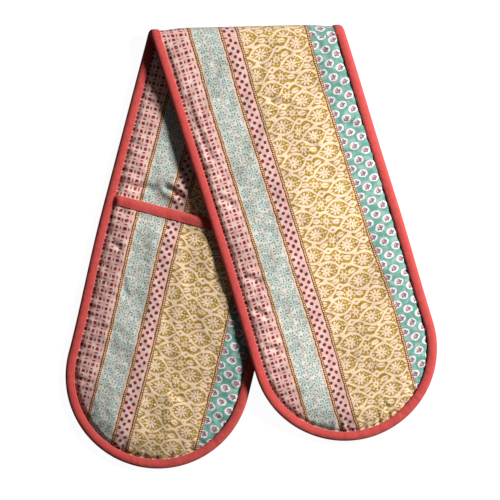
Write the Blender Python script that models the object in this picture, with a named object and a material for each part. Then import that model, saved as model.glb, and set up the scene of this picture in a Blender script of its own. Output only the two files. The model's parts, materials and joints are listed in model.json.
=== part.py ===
"""Double oven glove: one padded strip with a hand pocket at each end, folded over once and lying flat.

The lower leg lies on the table and shows its pocket. The upper leg comes over the fold, rests on
the lower leg's pocket and drapes down to the table beside it. Both pockets are on the inner side
of the strip, so the upper leg's pocket is on its underside.

Lengths are in metres, +Z is up and +X runs along the fold. Each leg has strip coordinates:
s runs from the fold's axis to the finger end, and v runs across the strip to the right.
"""
import math

import bmesh
import bpy
from mathutils import Vector

MM = 0.001

# The strip and the way it is folded
STRIP_WIDTH = 184 * MM
LOWER_LENGTH = 437.5 * MM
UPPER_LENGTH = 414 * MM
FOLD_SLANT = math.radians(16.1)
LOWER_LEAN = 3.8 * MM
UPPER_LEAN = 2 * MM
LEAN_START = 200 * MM
FOLD_GAP = 6 * MM
JOIN_GAP = 0.3 * MM

# Cloth and wadding
COVER_CLOTH = 0.7 * MM
MAIN_WADDING = 7 * MM
POCKET_CLOTH = 0.5 * MM
POCKET_WADDING = 3.4 * MM
LAYER_GAP = 0.3 * MM
CROWN_RUN = 26 * MM
MAIN_WADDING_EDGE_SHARE = 0.62

# Bias binding round the edge
BINDING_WIDTH = 9.5 * MM
BINDING_HEIGHT = 8 * MM
BINDING_ROLL = 4.2 * MM
BINDING_BACK = 1.2 * MM
LIP_DROP = 0.5 * MM
BINDING_TAPE = 0.7 * MM

# Hand pockets
POCKET_DEPTH = 255 * MM
MOUTH_BAND_WIDTH = 10 * MM
MOUTH_TAPE = 0.7 * MM
MOUTH_NOSE = 2.2 * MM
MOUTH_WADDING = 1.4 * MM
MOUTH_LOFT_RUN = 18 * MM
MOUTH_END_GAP = 1 * MM
MOUTH_APRON = 6 * MM
EDGE_SHARE_RUN = 26 * MM
HAND_ROOM = 8 * MM
HAND_ROOM_RUN = 26 * MM
PRESSED_MARGIN = 6 * MM
PRESSED_RUN = 34 * MM

# Drape of the upper leg
REST_CLEARANCE = 0.6 * MM
DRAPE_RUN = 96 * MM
DRAPE_INSET = 12 * MM
BEND_RUN = 100 * MM
UPPER_LIFT_RUN = 110 * MM

# Faces along each stretch
ROWS_TO_MOUTH = 5
ROWS_PAST_MOUTH = 6
END_ARC_FACES = 16
ROLL_FACES = 5
NOSE_FACES = 4
FOLD_FACES = 8
RING_SHARES = (0.12, 0.3, 0.6, 1.0)
SMOOTH_ANGLE = math.radians(40)

HALF_WIDTH = STRIP_WIDTH / 2
MAIN_THICKNESS = 2 * COVER_CLOTH + 2 * LAYER_GAP + MAIN_WADDING
POCKET_THICKNESS = 2 * POCKET_CLOTH + 2 * LAYER_GAP + POCKET_WADDING
MOUTH_THICKNESS = 2 * POCKET_CLOTH + 4 * LAYER_GAP + MOUTH_WADDING + 2 * MOUTH_TAPE
EDGE_LIFT = LIP_DROP + BINDING_TAPE + LAYER_GAP
EDGE_STACK = BINDING_HEIGHT - 2 * EDGE_LIFT
PANEL_INSET = BINDING_BACK + LAYER_GAP
BAND_INSET = BINDING_WIDTH + MOUTH_END_GAP
MOUTH_LIFT = MOUTH_TAPE + LAYER_GAP
FOLD_AXIS_Z = MAIN_THICKNESS + FOLD_GAP / 2
FOLD_RUN = math.pi * (FOLD_AXIS_Z - MAIN_THICKNESS / 2)
FOLD_SHIFT = FOLD_RUN * math.tan(FOLD_SLANT)
UPPER_AT_FOLD = MAIN_THICKNESS + FOLD_GAP
UPPER_ON_POCKET = MAIN_THICKNESS + LAYER_GAP + max(POCKET_THICKNESS, MOUTH_THICKNESS) + REST_CLEARANCE

CORAL = (0.68, 0.075, 0.065)
PRINT = (0.60, 0.47, 0.33)
PRINT_INSIDE = (0.55, 0.43, 0.30)
LINING = (0.72, 0.66, 0.56)
FLEECE = (0.85, 0.84, 0.80)
CLOTH_ROUGHNESS = 0.85


def mix(a, b, share):
    return a + (b - a) * share


def smooth(t):
    """Eases from 0 to 1 with level ends."""
    t = min(1.0, max(0.0, t))
    return t * t * (3 - 2 * t)


class Leg:
    """One leg of the folded strip: its plan, and the level of every layer over it."""

    def __init__(self, name, side, length, lean):
        self.name = name
        self.lean = lean
        self.side = side
        self.upper = side > 0
        self.length = length
        self.round_start = length - HALF_WIDTH
        self.mouth = length - POCKET_DEPTH
        self.lip = self.mouth + MOUTH_BAND_WIDTH
        self.apron = self.mouth - MOUTH_APRON

    def drift(self, s):
        """How far the strip's middle has bent aside: each leg's end leans towards the other one."""
        return -self.side * self.lean * smooth((s - LEAN_START) / (self.round_start - LEAN_START))

    def plan(self, s, v):
        """Strip coordinates to x and y, with y zero on the fold's axis."""
        sin, cos = self.side * math.sin(FOLD_SLANT), math.cos(FOLD_SLANT)
        v += self.drift(s)
        return self.side * FOLD_SHIFT / 2 + s * sin + v * cos, -s * cos + v * sin

    def strip(self, x, y):
        """x and y back to strip coordinates."""
        sin, cos = self.side * math.sin(FOLD_SLANT), math.cos(FOLD_SLANT)
        x -= self.side * FOLD_SHIFT / 2
        s = x * sin - y * cos
        return s, x * cos + y * sin - self.drift(s)

    def fold_line(self, v):
        """Where the leg starts, just clear of the fold's axis."""
        return self.side * v * math.tan(FOLD_SLANT) + JOIN_GAP / math.cos(FOLD_SLANT)

    def from_edge(self, s, v):
        """How far a point lies inside the strip's outer edge."""
        past = s - self.round_start
        return HALF_WIDTH - (math.hypot(past, v) if past > 0 else abs(v))

    def crown(self, s, v):
        """0 under the binding, 1 where the padding has its full loft."""
        return smooth((self.from_edge(s, v) - BINDING_WIDTH) / CROWN_RUN)

    def pocketed(self, s):
        """0 on the open strip, 1 where the pocket's edge shares the binding."""
        run = UPPER_LIFT_RUN if self.upper else EDGE_SHARE_RUN
        return smooth((s - self.apron + run) / run)

    def uncovered(self, s, v):
        """0 where the legs press on each other, 1 where this leg lies clear of the other one."""
        other = LOWER if self.upper else UPPER
        across = other.strip(*self.plan(s, v))[1]
        return smooth((self.side * across - HALF_WIDTH - PRESSED_MARGIN) / PRESSED_RUN)

    def base(self, s, v):
        """Height of the leg's underside above the table."""
        if not self.upper:
            return 0.0
        x, y = self.plan(s, v)
        beyond = LOWER.strip(x, y)[1] - HALF_WIDTH
        draped = UPPER_ON_POCKET * (1 - smooth((beyond + DRAPE_INSET) / DRAPE_RUN))
        return mix(UPPER_AT_FOLD, draped, smooth(-y / BEND_RUN))

    def edge_base(self, s, v):
        """Height of the underside of the cloth, which rises into the binding at the edge."""
        return self.base(s, v) + EDGE_LIFT * (1 - self.crown(s, v))

    def main_wadding(self, s, v):
        alone = EDGE_STACK - 2 * COVER_CLOTH - 2 * LAYER_GAP
        shared = (alone - 2 * POCKET_CLOTH - 3 * LAYER_GAP) * MAIN_WADDING_EDGE_SHARE
        return mix(mix(alone, shared, self.pocketed(s)), MAIN_WADDING, self.crown(s, v))

    def past_lip(self, s):
        """0 under the mouth's binding, 1 where the pocket has its full loft."""
        return smooth((s - self.lip) / MOUTH_LOFT_RUN)

    def pocket_wadding(self, s, v):
        spare = EDGE_STACK - 2 * COVER_CLOTH - 2 * POCKET_CLOTH - 5 * LAYER_GAP
        loft = mix(MOUTH_WADDING, POCKET_WADDING, self.past_lip(s))
        return mix(spare * (1 - MAIN_WADDING_EDGE_SHARE), loft, self.crown(s, v))

    def hollow(self, s, v):
        """Room between the pocket and the strip: the hand's, or the mouth tape's where it is shut."""
        inside = self.from_edge(s, v) - BINDING_WIDTH
        room = HAND_ROOM * smooth(inside / HAND_ROOM_RUN) * self.uncovered(s, v)
        lift = MOUTH_LIFT * (1 - self.past_lip(s)) * smooth(inside / MOUTH_END_GAP)
        return LAYER_GAP + max(room, lift)

    def levels(self, s, v):
        """Heights of every layer at one point: name to (underside, top)."""
        main = [("outer", COVER_CLOTH), ("wadding", self.main_wadding(s, v)), ("inner", COVER_CLOTH)]
        pocket = [
            ("lining", POCKET_CLOTH),
            ("pocket_wadding", self.pocket_wadding(s, v)),
            ("face", POCKET_CLOTH),
        ]
        found = {}
        bare = self.edge_base(s, v)
        if self.upper:
            over_pocket = stack_up(found, reversed(pocket), bare) - LAYER_GAP + self.hollow(s, v)
            stack_up(found, reversed(main), mix(bare, over_pocket, self.pocketed(s)))
        else:
            over_strip = stack_up(found, main, bare) - LAYER_GAP
            stack_up(found, pocket, over_strip + self.hollow(s, v))
        return found


def stack_up(found, layers, level):
    """Lays layers one on another from a level, and gives the level over the last one's gap."""
    for name, thickness in layers:
        found[name] = (level, level + thickness)
        level += thickness + LAYER_GAP
    return level


LOWER = Leg("lower", -1, LOWER_LENGTH, LOWER_LEAN)
UPPER = Leg("upper", 1, UPPER_LENGTH, UPPER_LEAN)


def box_centre():
    """Middle of the folded glove's outline in plan."""
    left, low = LOWER.plan(LOWER.round_start, 0)
    right, high = UPPER.plan(UPPER.round_start, 0)
    near = min(low, high) - HALF_WIDTH
    return Vector(((left + right) / 2, (near + FOLD_AXIS_Z) / 2, 0))


def lines_along(leg, first_row=0):
    """Lines across the strip's edge, from the left side round the finger end to the right side.

    Each is a function from an inset to strip coordinates, so that every layer and the binding
    share the same lines. The pocket's lines start at its mouth, which is row ROWS_TO_MOUTH + 1.
    """
    lofted = leg.lip + MOUTH_LOFT_RUN
    past = [leg.mouth, leg.lip]
    past += [mix(lofted, leg.round_start, i / ROWS_PAST_MOUTH) for i in range(ROWS_PAST_MOUTH + 1)]

    def side_row(row, sign):
        def place(inset):
            v = sign * (HALF_WIDTH - inset)
            if row <= ROWS_TO_MOUTH:
                return mix(leg.fold_line(v), leg.apron, row / ROWS_TO_MOUTH), v
            return past[row - ROWS_TO_MOUTH - 1], v
        return place

    def arc_row(angle):
        def place(inset):
            reach = HALF_WIDTH - inset
            return leg.round_start + reach * math.sin(angle), -reach * math.cos(angle)
        return place

    rows = range(first_row, ROWS_TO_MOUTH + 1 + len(past))
    left = [side_row(row, -1) for row in rows]
    arc = [arc_row(math.pi * i / END_ARC_FACES) for i in range(1, END_ARC_FACES)]
    right = [side_row(row, 1) for row in reversed(rows)]
    return left + arc + right


def ring_insets():
    """Insets of the lines that run parallel to the strip's edge, the last on its middle."""
    rings = [BAND_INSET + (HALF_WIDTH - BAND_INSET) * share for share in RING_SHARES]
    return [PANEL_INSET, BINDING_WIDTH, BAND_INSET] + rings


def across_strip(insets):
    """Places across the strip, from left to right, at insets whose last is the middle."""
    left = [inset - HALF_WIDTH for inset in insets]
    return left + [-v for v in reversed(left[:-1])]


def pivot_of(leg):
    """Lower pieces have their origin under the glove's middle, upper ones on the fold's axis."""
    return Vector((0, 0, FOLD_AXIS_Z)) if leg.upper else box_centre()


def new_object(name, work, colour, pivot):
    """Turns a closed bmesh in the fold's frame into an object with its origin at the pivot."""
    bmesh.ops.recalc_face_normals(work, faces=work.faces)
    bmesh.ops.translate(work, vec=-pivot, verts=work.verts)
    mesh = bpy.data.meshes.new(name)
    work.to_mesh(mesh)
    work.free()
    mesh.shade_smooth()
    mesh.set_sharp_from_angle(angle=SMOOTH_ANGLE)
    thing = bpy.data.objects.new(name, mesh)
    thing.location = pivot - box_centre()
    bpy.context.scene.collection.objects.link(thing)
    material = bpy.data.materials.new(name)
    material.use_nodes = True
    shader = material.node_tree.nodes["Principled BSDF"]
    shader.inputs["Base Color"].default_value = (*colour, 1)
    shader.inputs["Roughness"].default_value = CLOTH_ROUGHNESS
    shader.inputs["Metallic"].default_value = 0
    mesh.materials.append(material)
    return thing


def layer(leg, which, name, colour, first_row=0):
    """One cloth or wadding layer: a net over the leg's plan, extruded from underside to top."""
    work = bmesh.new()
    known = {}

    def corner(line, inset):
        s, v = line(inset)
        key = (round(s / JOIN_GAP), round(v / JOIN_GAP))
        if key not in known:
            known[key] = work.verts.new((*leg.plan(s, v), leg.levels(s, v)[which][0]))
        return known[key]

    lines = lines_along(leg, first_row)
    net = [[corner(line, inset) for line in lines] for inset in ring_insets()]
    for outer, inner in zip(net, net[1:]):
        for i in range(len(lines) - 1):
            for corners in ((outer[i], outer[i + 1], inner[i + 1]), (outer[i], inner[i + 1], inner[i])):
                if len(set(corners)) == 3:
                    work.faces.new(corners)
    raised = bmesh.ops.extrude_face_region(work, geom=work.faces[:])["geom"]
    for vert in raised:
        if isinstance(vert, bmesh.types.BMVert):
            vert.co.z = leg.levels(*leg.strip(vert.co.x, vert.co.y))[which][1]
    bmesh.ops.triangulate(work, faces=work.faces)
    return new_object(name, work, colour, pivot_of(leg))


def swept(name, sections, colour, pivot):
    """A closed solid: the first section as a face, extruded to each of the others in turn."""
    work = bmesh.new()
    face = work.faces.new([work.verts.new(place) for place in sections[0]])
    for section in sections[1:]:
        region = [face, *face.edges]
        moved = bmesh.ops.extrude_face_region(work, geom=region)["geom"]
        face = next(part for part in moved if isinstance(part, bmesh.types.BMFace))
        for vert, place in zip(face.verts, section):
            vert.co = place
    bmesh.ops.triangulate(work, faces=work.faces)
    return new_object(name, work, colour, pivot)


def binding_profile():
    """Folded tape round the strip's edge, as insets from the edge and heights."""
    half = BINDING_HEIGHT / 2
    lip_in = LIP_DROP + BINDING_TAPE
    points = [(BINDING_WIDTH, BINDING_HEIGHT - LIP_DROP)]
    for i in range(ROLL_FACES + 1):
        angle = math.pi / 2 + math.pi * i / ROLL_FACES
        points.append((BINDING_ROLL * (1 + math.cos(angle)), half * (1 + math.sin(angle))))
    points += [(BINDING_WIDTH, LIP_DROP), (BINDING_WIDTH, lip_in), (BINDING_BACK, lip_in)]
    points += [(BINDING_BACK, BINDING_HEIGHT - lip_in), (BINDING_WIDTH, BINDING_HEIGHT - lip_in)]
    return points


def edge_binding(leg):
    """The tape round one leg, from the fold down one side, round the end and back."""
    sections = []
    for line in lines_along(leg):
        section = []
        for inset, height in binding_profile():
            s, v = line(inset)
            section.append((*leg.plan(s, v), leg.base(s, v) + height))
        sections.append(section)
    return swept(f"edge_binding_{leg.name}", sections, CORAL, pivot_of(leg))


def mouth_section(leg, v):
    """The mouth's tape at one place across the strip: round the pocket's edge, over and under it."""
    under, over = ("face", "lining") if leg.upper else ("lining", "face")
    at_mouth, at_lip = leg.levels(leg.mouth, v), leg.levels(leg.lip, v)
    bottom, top = at_mouth[under][0] - LAYER_GAP, at_mouth[over][1] + LAYER_GAP
    lip_bottom, lip_top = at_lip[under][0] - LAYER_GAP, at_lip[over][1] + LAYER_GAP
    middle, half = (bottom + top) / 2, (top - bottom) / 2 + MOUTH_TAPE
    shape = [(leg.lip, lip_top + MOUTH_TAPE)]
    for i in range(NOSE_FACES + 1):
        angle = math.pi / 2 + math.pi * i / NOSE_FACES
        shape.append((leg.mouth + MOUTH_NOSE * math.cos(angle), middle + half * math.sin(angle)))
    shape += [(leg.lip, lip_bottom - MOUTH_TAPE), (leg.lip, lip_bottom), (leg.mouth - LAYER_GAP, bottom)]
    shape += [(leg.mouth - LAYER_GAP, top), (leg.lip, lip_top)]
    return [(*leg.plan(s, v), level) for s, level in shape]


def mouth_binding(leg):
    """The tape folded over a pocket's mouth, between the two side bindings."""
    across = across_strip(ring_insets()[2:])
    return swept(f"mouth_binding_{leg.name}", [mouth_section(leg, v) for v in across], CORAL, pivot_of(leg))


def bent_place(v, height, share):
    """A point of the strip on its way round the fold, at a share of the half turn."""
    angle = math.pi * (share - 0.5)
    radius = FOLD_AXIS_Z - height
    x = v / math.cos(FOLD_SLANT) + FOLD_SHIFT * (share - 0.5)
    return (x, radius * math.cos(angle), FOLD_AXIS_Z + radius * math.sin(angle))


def fold_piece(name, outline, colour):
    """A closed outline of (v, height) carried round the fold."""
    shares = [i / FOLD_FACES for i in range(FOLD_FACES + 1)]
    sections = [[bent_place(v, height, share) for v, height in outline] for share in shares]
    return swept(name, sections, colour, box_centre())


def fold_layer(which, name, colour):
    """A layer's stretch round the fold, between the bindings."""
    across = across_strip(ring_insets())
    levels = [LOWER.levels(LOWER.fold_line(v), v)[which] for v in across]
    under = [(v, level[0]) for v, level in zip(across, levels)]
    over = [(v, level[1]) for v, level in zip(across, levels)]
    return fold_piece(name, under + over[::-1], colour)


def fold_binding(side, name):
    """The binding's stretch round one end of the fold."""
    return fold_piece(name, [(side * (HALF_WIDTH - inset), height) for inset, height in binding_profile()], CORAL)


def leg_pieces(leg):
    first_row = ROWS_TO_MOUTH + 1
    return [
        layer(leg, "outer", f"outer_cover_{leg.name}", PRINT),
        layer(leg, "wadding", f"wadding_{leg.name}", FLEECE),
        layer(leg, "inner", f"inner_cover_{leg.name}", PRINT_INSIDE),
        layer(leg, "lining", f"pocket_lining_{leg.name}", LINING, first_row),
        layer(leg, "pocket_wadding", f"pocket_wadding_{leg.name}", FLEECE, first_row),
        layer(leg, "face", f"pocket_face_{leg.name}", PRINT, first_row),
        mouth_binding(leg),
        edge_binding(leg),
    ]


def main():
    for thing in list(bpy.data.objects):
        bpy.data.objects.remove(thing)
    turning = bpy.data.objects.new("fold_axis", None)
    turning.location = Vector((0, 0, FOLD_AXIS_Z)) - box_centre()
    bpy.context.scene.collection.objects.link(turning)
    leg_pieces(LOWER)
    for piece in leg_pieces(UPPER):
        piece.parent = turning
        piece.location = (0, 0, 0)
    fold_layer("outer", "outer_cover_fold", PRINT)
    fold_layer("wadding", "wadding_fold", FLEECE)
    fold_layer("inner", "inner_cover_fold", PRINT_INSIDE)
    fold_binding(-1, "edge_binding_fold_left")
    fold_binding(1, "edge_binding_fold_right")


main()
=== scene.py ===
"""Dresses a double oven glove: printed covers, wadding, pockets, bias binding and stitching.

The glove is one padded strip with a hand pocket at each end, folded over once and lying flat.
Strip coordinates: s runs from the fold to the finger end of a leg, and v runs across the strip.
Lengths are in metres. The print is written in millimetres of cloth.
"""
import json
import math

import bmesh
import bpy
import numpy as np
from bpy.props import FloatProperty, FloatVectorProperty, IntProperty, PointerProperty
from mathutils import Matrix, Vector


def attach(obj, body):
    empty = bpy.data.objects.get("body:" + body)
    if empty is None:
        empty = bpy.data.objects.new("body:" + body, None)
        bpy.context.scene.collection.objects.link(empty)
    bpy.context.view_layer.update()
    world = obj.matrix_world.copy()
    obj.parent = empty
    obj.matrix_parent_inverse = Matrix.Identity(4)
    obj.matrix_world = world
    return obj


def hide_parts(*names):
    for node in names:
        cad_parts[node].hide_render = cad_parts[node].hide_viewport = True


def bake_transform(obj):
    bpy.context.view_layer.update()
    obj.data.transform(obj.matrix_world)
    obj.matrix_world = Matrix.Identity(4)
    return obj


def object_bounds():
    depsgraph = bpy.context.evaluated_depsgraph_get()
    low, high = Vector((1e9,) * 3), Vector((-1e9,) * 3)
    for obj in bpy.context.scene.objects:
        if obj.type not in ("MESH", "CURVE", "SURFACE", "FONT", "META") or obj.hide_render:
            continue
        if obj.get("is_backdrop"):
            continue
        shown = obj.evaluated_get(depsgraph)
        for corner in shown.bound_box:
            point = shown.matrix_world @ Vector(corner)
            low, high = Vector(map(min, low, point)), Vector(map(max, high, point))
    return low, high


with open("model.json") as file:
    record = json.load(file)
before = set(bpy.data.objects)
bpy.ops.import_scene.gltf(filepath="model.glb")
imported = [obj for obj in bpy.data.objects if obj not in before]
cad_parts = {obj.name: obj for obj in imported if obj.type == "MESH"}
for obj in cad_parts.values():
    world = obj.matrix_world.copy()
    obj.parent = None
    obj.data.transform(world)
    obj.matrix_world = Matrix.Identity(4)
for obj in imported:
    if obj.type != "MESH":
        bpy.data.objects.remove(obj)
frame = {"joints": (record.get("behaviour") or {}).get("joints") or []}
cad_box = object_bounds()

bl_info = {
    "name": "Double oven glove",
    "version": (1, 0, 0),
    "blender": (4, 5, 0),
    "location": "View3D > Sidebar > Oven glove",
    "description": "Makes the cloth, binding, stitching and stage of a folded double oven glove",
    "category": "Add Mesh",
}

MM = 0.001
FOLD = frame["joints"][0]
LOWER_BODY, UPPER_BODY = "lower_leg", "upper_leg"
SMOOTH_ANGLE = math.radians(50)


def linear(red, green, blue):
    """A screen colour of 0 to 255 as Blender's linear one."""
    shares = [c / 255 for c in (red, green, blue)]
    return [c / 12.92 if c <= 0.04045 else ((c + 0.055) / 1.055) ** 2.4 for c in shares]


def length(name, text, default):
    return FloatProperty(name=name, description=text, default=default, unit="LENGTH", precision=5)


def colour(name, text, *screen):
    return FloatVectorProperty(
        name=name, description=text, default=linear(*screen), subtype="COLOR", size=3, min=0, max=1)


class GloveSizes(bpy.types.PropertyGroup):
    """Sizes of the strip, its fold and its sewing."""

    strip_width: length("Strip width", "Width of the bound strip", 184 * MM)
    lower_length: length("Lower leg", "Lower leg from the fold's axis to its tip", 437.5 * MM)
    upper_length: length("Upper leg", "Upper leg from the fold's axis to its tip", 414 * MM)
    fold_slant: FloatProperty(
        name="Fold slant", description="Angle of each leg to the fold's square", default=math.radians(16.1),
        subtype="ANGLE")
    lower_lean: length("Lower lean", "How far the lower leg's end leans towards the upper one", 3.8 * MM)
    upper_lean: length("Upper lean", "How far the upper leg's end leans towards the lower one", 2 * MM)
    fold_gap: length("Fold gap", "Space inside the fold between the two legs", 6 * MM)
    cover_cloth: length("Cover cloth", "Thickness of the strip's covers", 0.7 * MM)
    main_wadding: length("Strip wadding", "Loft of the strip's wadding", 7 * MM)
    pocket_cloth: length("Pocket cloth", "Thickness of the pocket's face and lining", 0.5 * MM)
    pocket_wadding: length("Pocket wadding", "Loft of the pocket's wadding", 3.4 * MM)
    layer_gap: length("Layer gap", "Air between two layers", 0.3 * MM)
    crown_run: length("Crown run", "Distance over which the padding reaches its loft", 26 * MM)
    puff: length("Puff", "Extra rise of the cloth close to the binding", 0.9 * MM)
    groove: length("Groove", "Depth of the groove along the binding's inner edge", 1.0 * MM)
    binding_width: length("Binding width", "Width of the edge binding seen from above", 8.5 * MM)
    binding_height: length("Binding height", "Height of the edge binding", 8 * MM)
    pocket_depth: length("Pocket depth", "Pocket from its mouth to the tip of the leg", 255 * MM)
    mouth_width: length("Mouth binding width", "Width of the band over a pocket's mouth", 10 * MM)
    hand_room: length("Hand room", "Height of a pocket's hollow where nothing presses on it", 2.5 * MM)
    pucker_depth: length("Pucker depth", "Deepest pucker beside the binding", 1.5 * MM)
    slack: FloatProperty(
        name="Slack", description="Share by which the settled cloth is too large", default=0.02)
    settled_depth: length("Settled depth", "Most that the settled cloth rises or sinks", 1.5 * MM)
    pucker_spacing: length("Pucker spacing", "Usual distance between two puckers", 12 * MM)
    wave_height: length("Wave height", "Height of the wadding's broad waves", 0.8 * MM)
    stitch_pitch: length("Stitch pitch", "Distance from one stitch to the next", 3.0 * MM)
    stitch_length: length("Stitch length", "Length of a stitch that shows", 2.3 * MM)
    thread_radius: length("Thread radius", "Radius of the sewing thread", 0.22 * MM)
    seed: IntProperty(name="Seed", description="Seed for the puckers and waves", default=7)


class GloveColours(bpy.types.PropertyGroup):
    """Colours of the cloths, thread and wadding."""

    binding: colour("Binding", "Bias tape", 207, 76, 71)
    lining: colour("Lining", "Plain lining cloth", 226, 216, 198)
    wadding: colour("Wadding", "Fibre wadding", 238, 236, 230)
    rose: colour("Rose stripe", "Ground of the checked stripe", 240, 190, 180)
    rose_halo: colour("Rose halos", "Glow round the squares of the checked stripe", 252, 186, 180)
    rose_pale: colour("Rose patches", "Pale patches of the checked stripe", 240, 218, 200)
    rose_mark: colour("Rose marks", "Squares and dashes of the checked stripe", 118, 22, 32)
    mint: colour("Mint stripe", "Ground of the sprigged stripe", 208, 214, 206)
    mint_glow: colour("Mint glow", "Tint under the florets of the sprigged stripe", 186, 214, 204)
    mint_mark: colour("Mint marks", "Inner dots of the sprigged stripe's florets", 92, 132, 122)
    mint_dark: colour("Mint specks", "Dashes of the sprigged stripe's florets", 72, 96, 90)
    mint_scroll: colour("Mint scrolls", "Tendrils of the sprigged stripe", 176, 164, 162)
    spot_ground: colour("Spotted stripe", "Ground of the spotted stripe", 230, 175, 165)
    spot: colour("Spots", "Spots of the spotted stripe", 104, 40, 48)
    bead_ground: colour("Bead lines", "Ground of the beaded lines", 110, 48, 24)
    bead: colour("Beads", "Beads of the beaded lines", 242, 200, 146)
    mustard: colour("Mustard stripe", "Ground of the trellis stripe", 186, 150, 50)
    mustard_shade: colour("Mustard shade", "Darker ground of the trellis stripe", 141, 109, 23)
    trellis: colour("Trellis", "Trellis and rosettes", 241, 210, 182)
    teal: colour("Teal stripe", "Ground of the oval stripe", 97, 151, 138)
    oval: colour("Ovals", "Ovals of the oval stripe", 214, 209, 207)
    teal_shade: colour("Teal shade", "Darker ground of the oval stripe", 74, 128, 118)
    posy_pale: colour("Pale posies", "Petals of the flowers in the ovals", 206, 160, 170)
    posy: colour("Posies", "Outlines of the flowers in the ovals", 92, 58, 72)


def mix(a, b, share):
    return a + (b - a) * share


def smooth(t):
    """Eases from 0 to 1 with level ends."""
    t = np.clip(t, 0, 1)
    return t * t * (3 - 2 * t)


def bump(t):
    """A round hump from -1 to 1, highest at 0."""
    return smooth(1 - np.abs(t))


def valley(off, bank, place):
    """A valley of depth 1 and half width 1, with a low bank's crest this far off on each side."""
    return np.exp(-off * off) - bank * np.exp(-((np.abs(off) - place) ** 2))


def sizes():
    return bpy.context.scene.glove_sizes


def colours():
    return bpy.context.scene.glove_colours


# Shape of the strip, as in the construction

EDGE_TAPE = 0.7 * MM
LIP_DROP = 0.5 * MM
PANEL_INSET = 1.5 * MM
WADDING_EDGE_SHARE = 0.62
MOUTH_WADDING = 1.4 * MM
MOUTH_LOFT_RUN = 18 * MM
MOUTH_APRON = 6 * MM
MOUTH_LIFT = 1 * MM
EDGE_SHARE_RUN = 26 * MM
HAND_ROOM_RUN = 26 * MM
PRESSED_MARGIN = 6 * MM
PRESSED_RUN = 34 * MM
REST_CLEARANCE = 0.6 * MM
DRAPE_RUN = 96 * MM
DRAPE_INSET = 12 * MM
BEND_RUN = 100 * MM
UPPER_LIFT_RUN = 110 * MM
LEAN_START = 200 * MM

# Relief of the padded cloth
PUFF_RUN = 7 * MM
FULL_RUN = 6 * MM
FULL_SHARE = 0.85
PRESSED_POCKET = 4.9 * MM
GROOVE_RUN = 3.2 * MM
UNDER_BINDING_RUN = 4 * MM
CALM_RUN = 14 * MM
PRESS_SHARE = 0.75
SIDE_NAMES = {-1: "lower", 1: "upper"}

# Seeds of the random draws over the panel's own seed
PUCKER_DRAW, RIPPLE_DRAW, ROUGHNESS_DRAW = 10, 30, 50
LOWER_DRAW = 10

# Least and most of what is drawn for a pucker: widths and reaches in millimetres, the others as shares
PUCKER_DEPTHS = (0.35, 1.0)
PUCKER_WIDTHS = (1.8, 3.4)
PUCKER_REACHES = (12, 30)
PUCKER_LEANS = (-0.35, 0.35)
PUCKER_STEPS = (0.6, 1.5)

# The wadding's waves: length in millimetres and share of the wave height
RIPPLES = ((70, 0.5), (52, 0.4), (38, 0.3), (27, 0.2), (19, 0.14), (14, 0.1), (11, 0.07))


def drift(side, s):
    """How far a leg's middle has bent aside: each leg's end leans towards the other one."""
    g = sizes()
    lean, reach = (g.upper_lean, g.upper_length) if side > 0 else (g.lower_lean, g.lower_length)
    return -side * lean * smooth((s - LEAN_START) / (reach - g.strip_width / 2 - LEAN_START))


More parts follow.
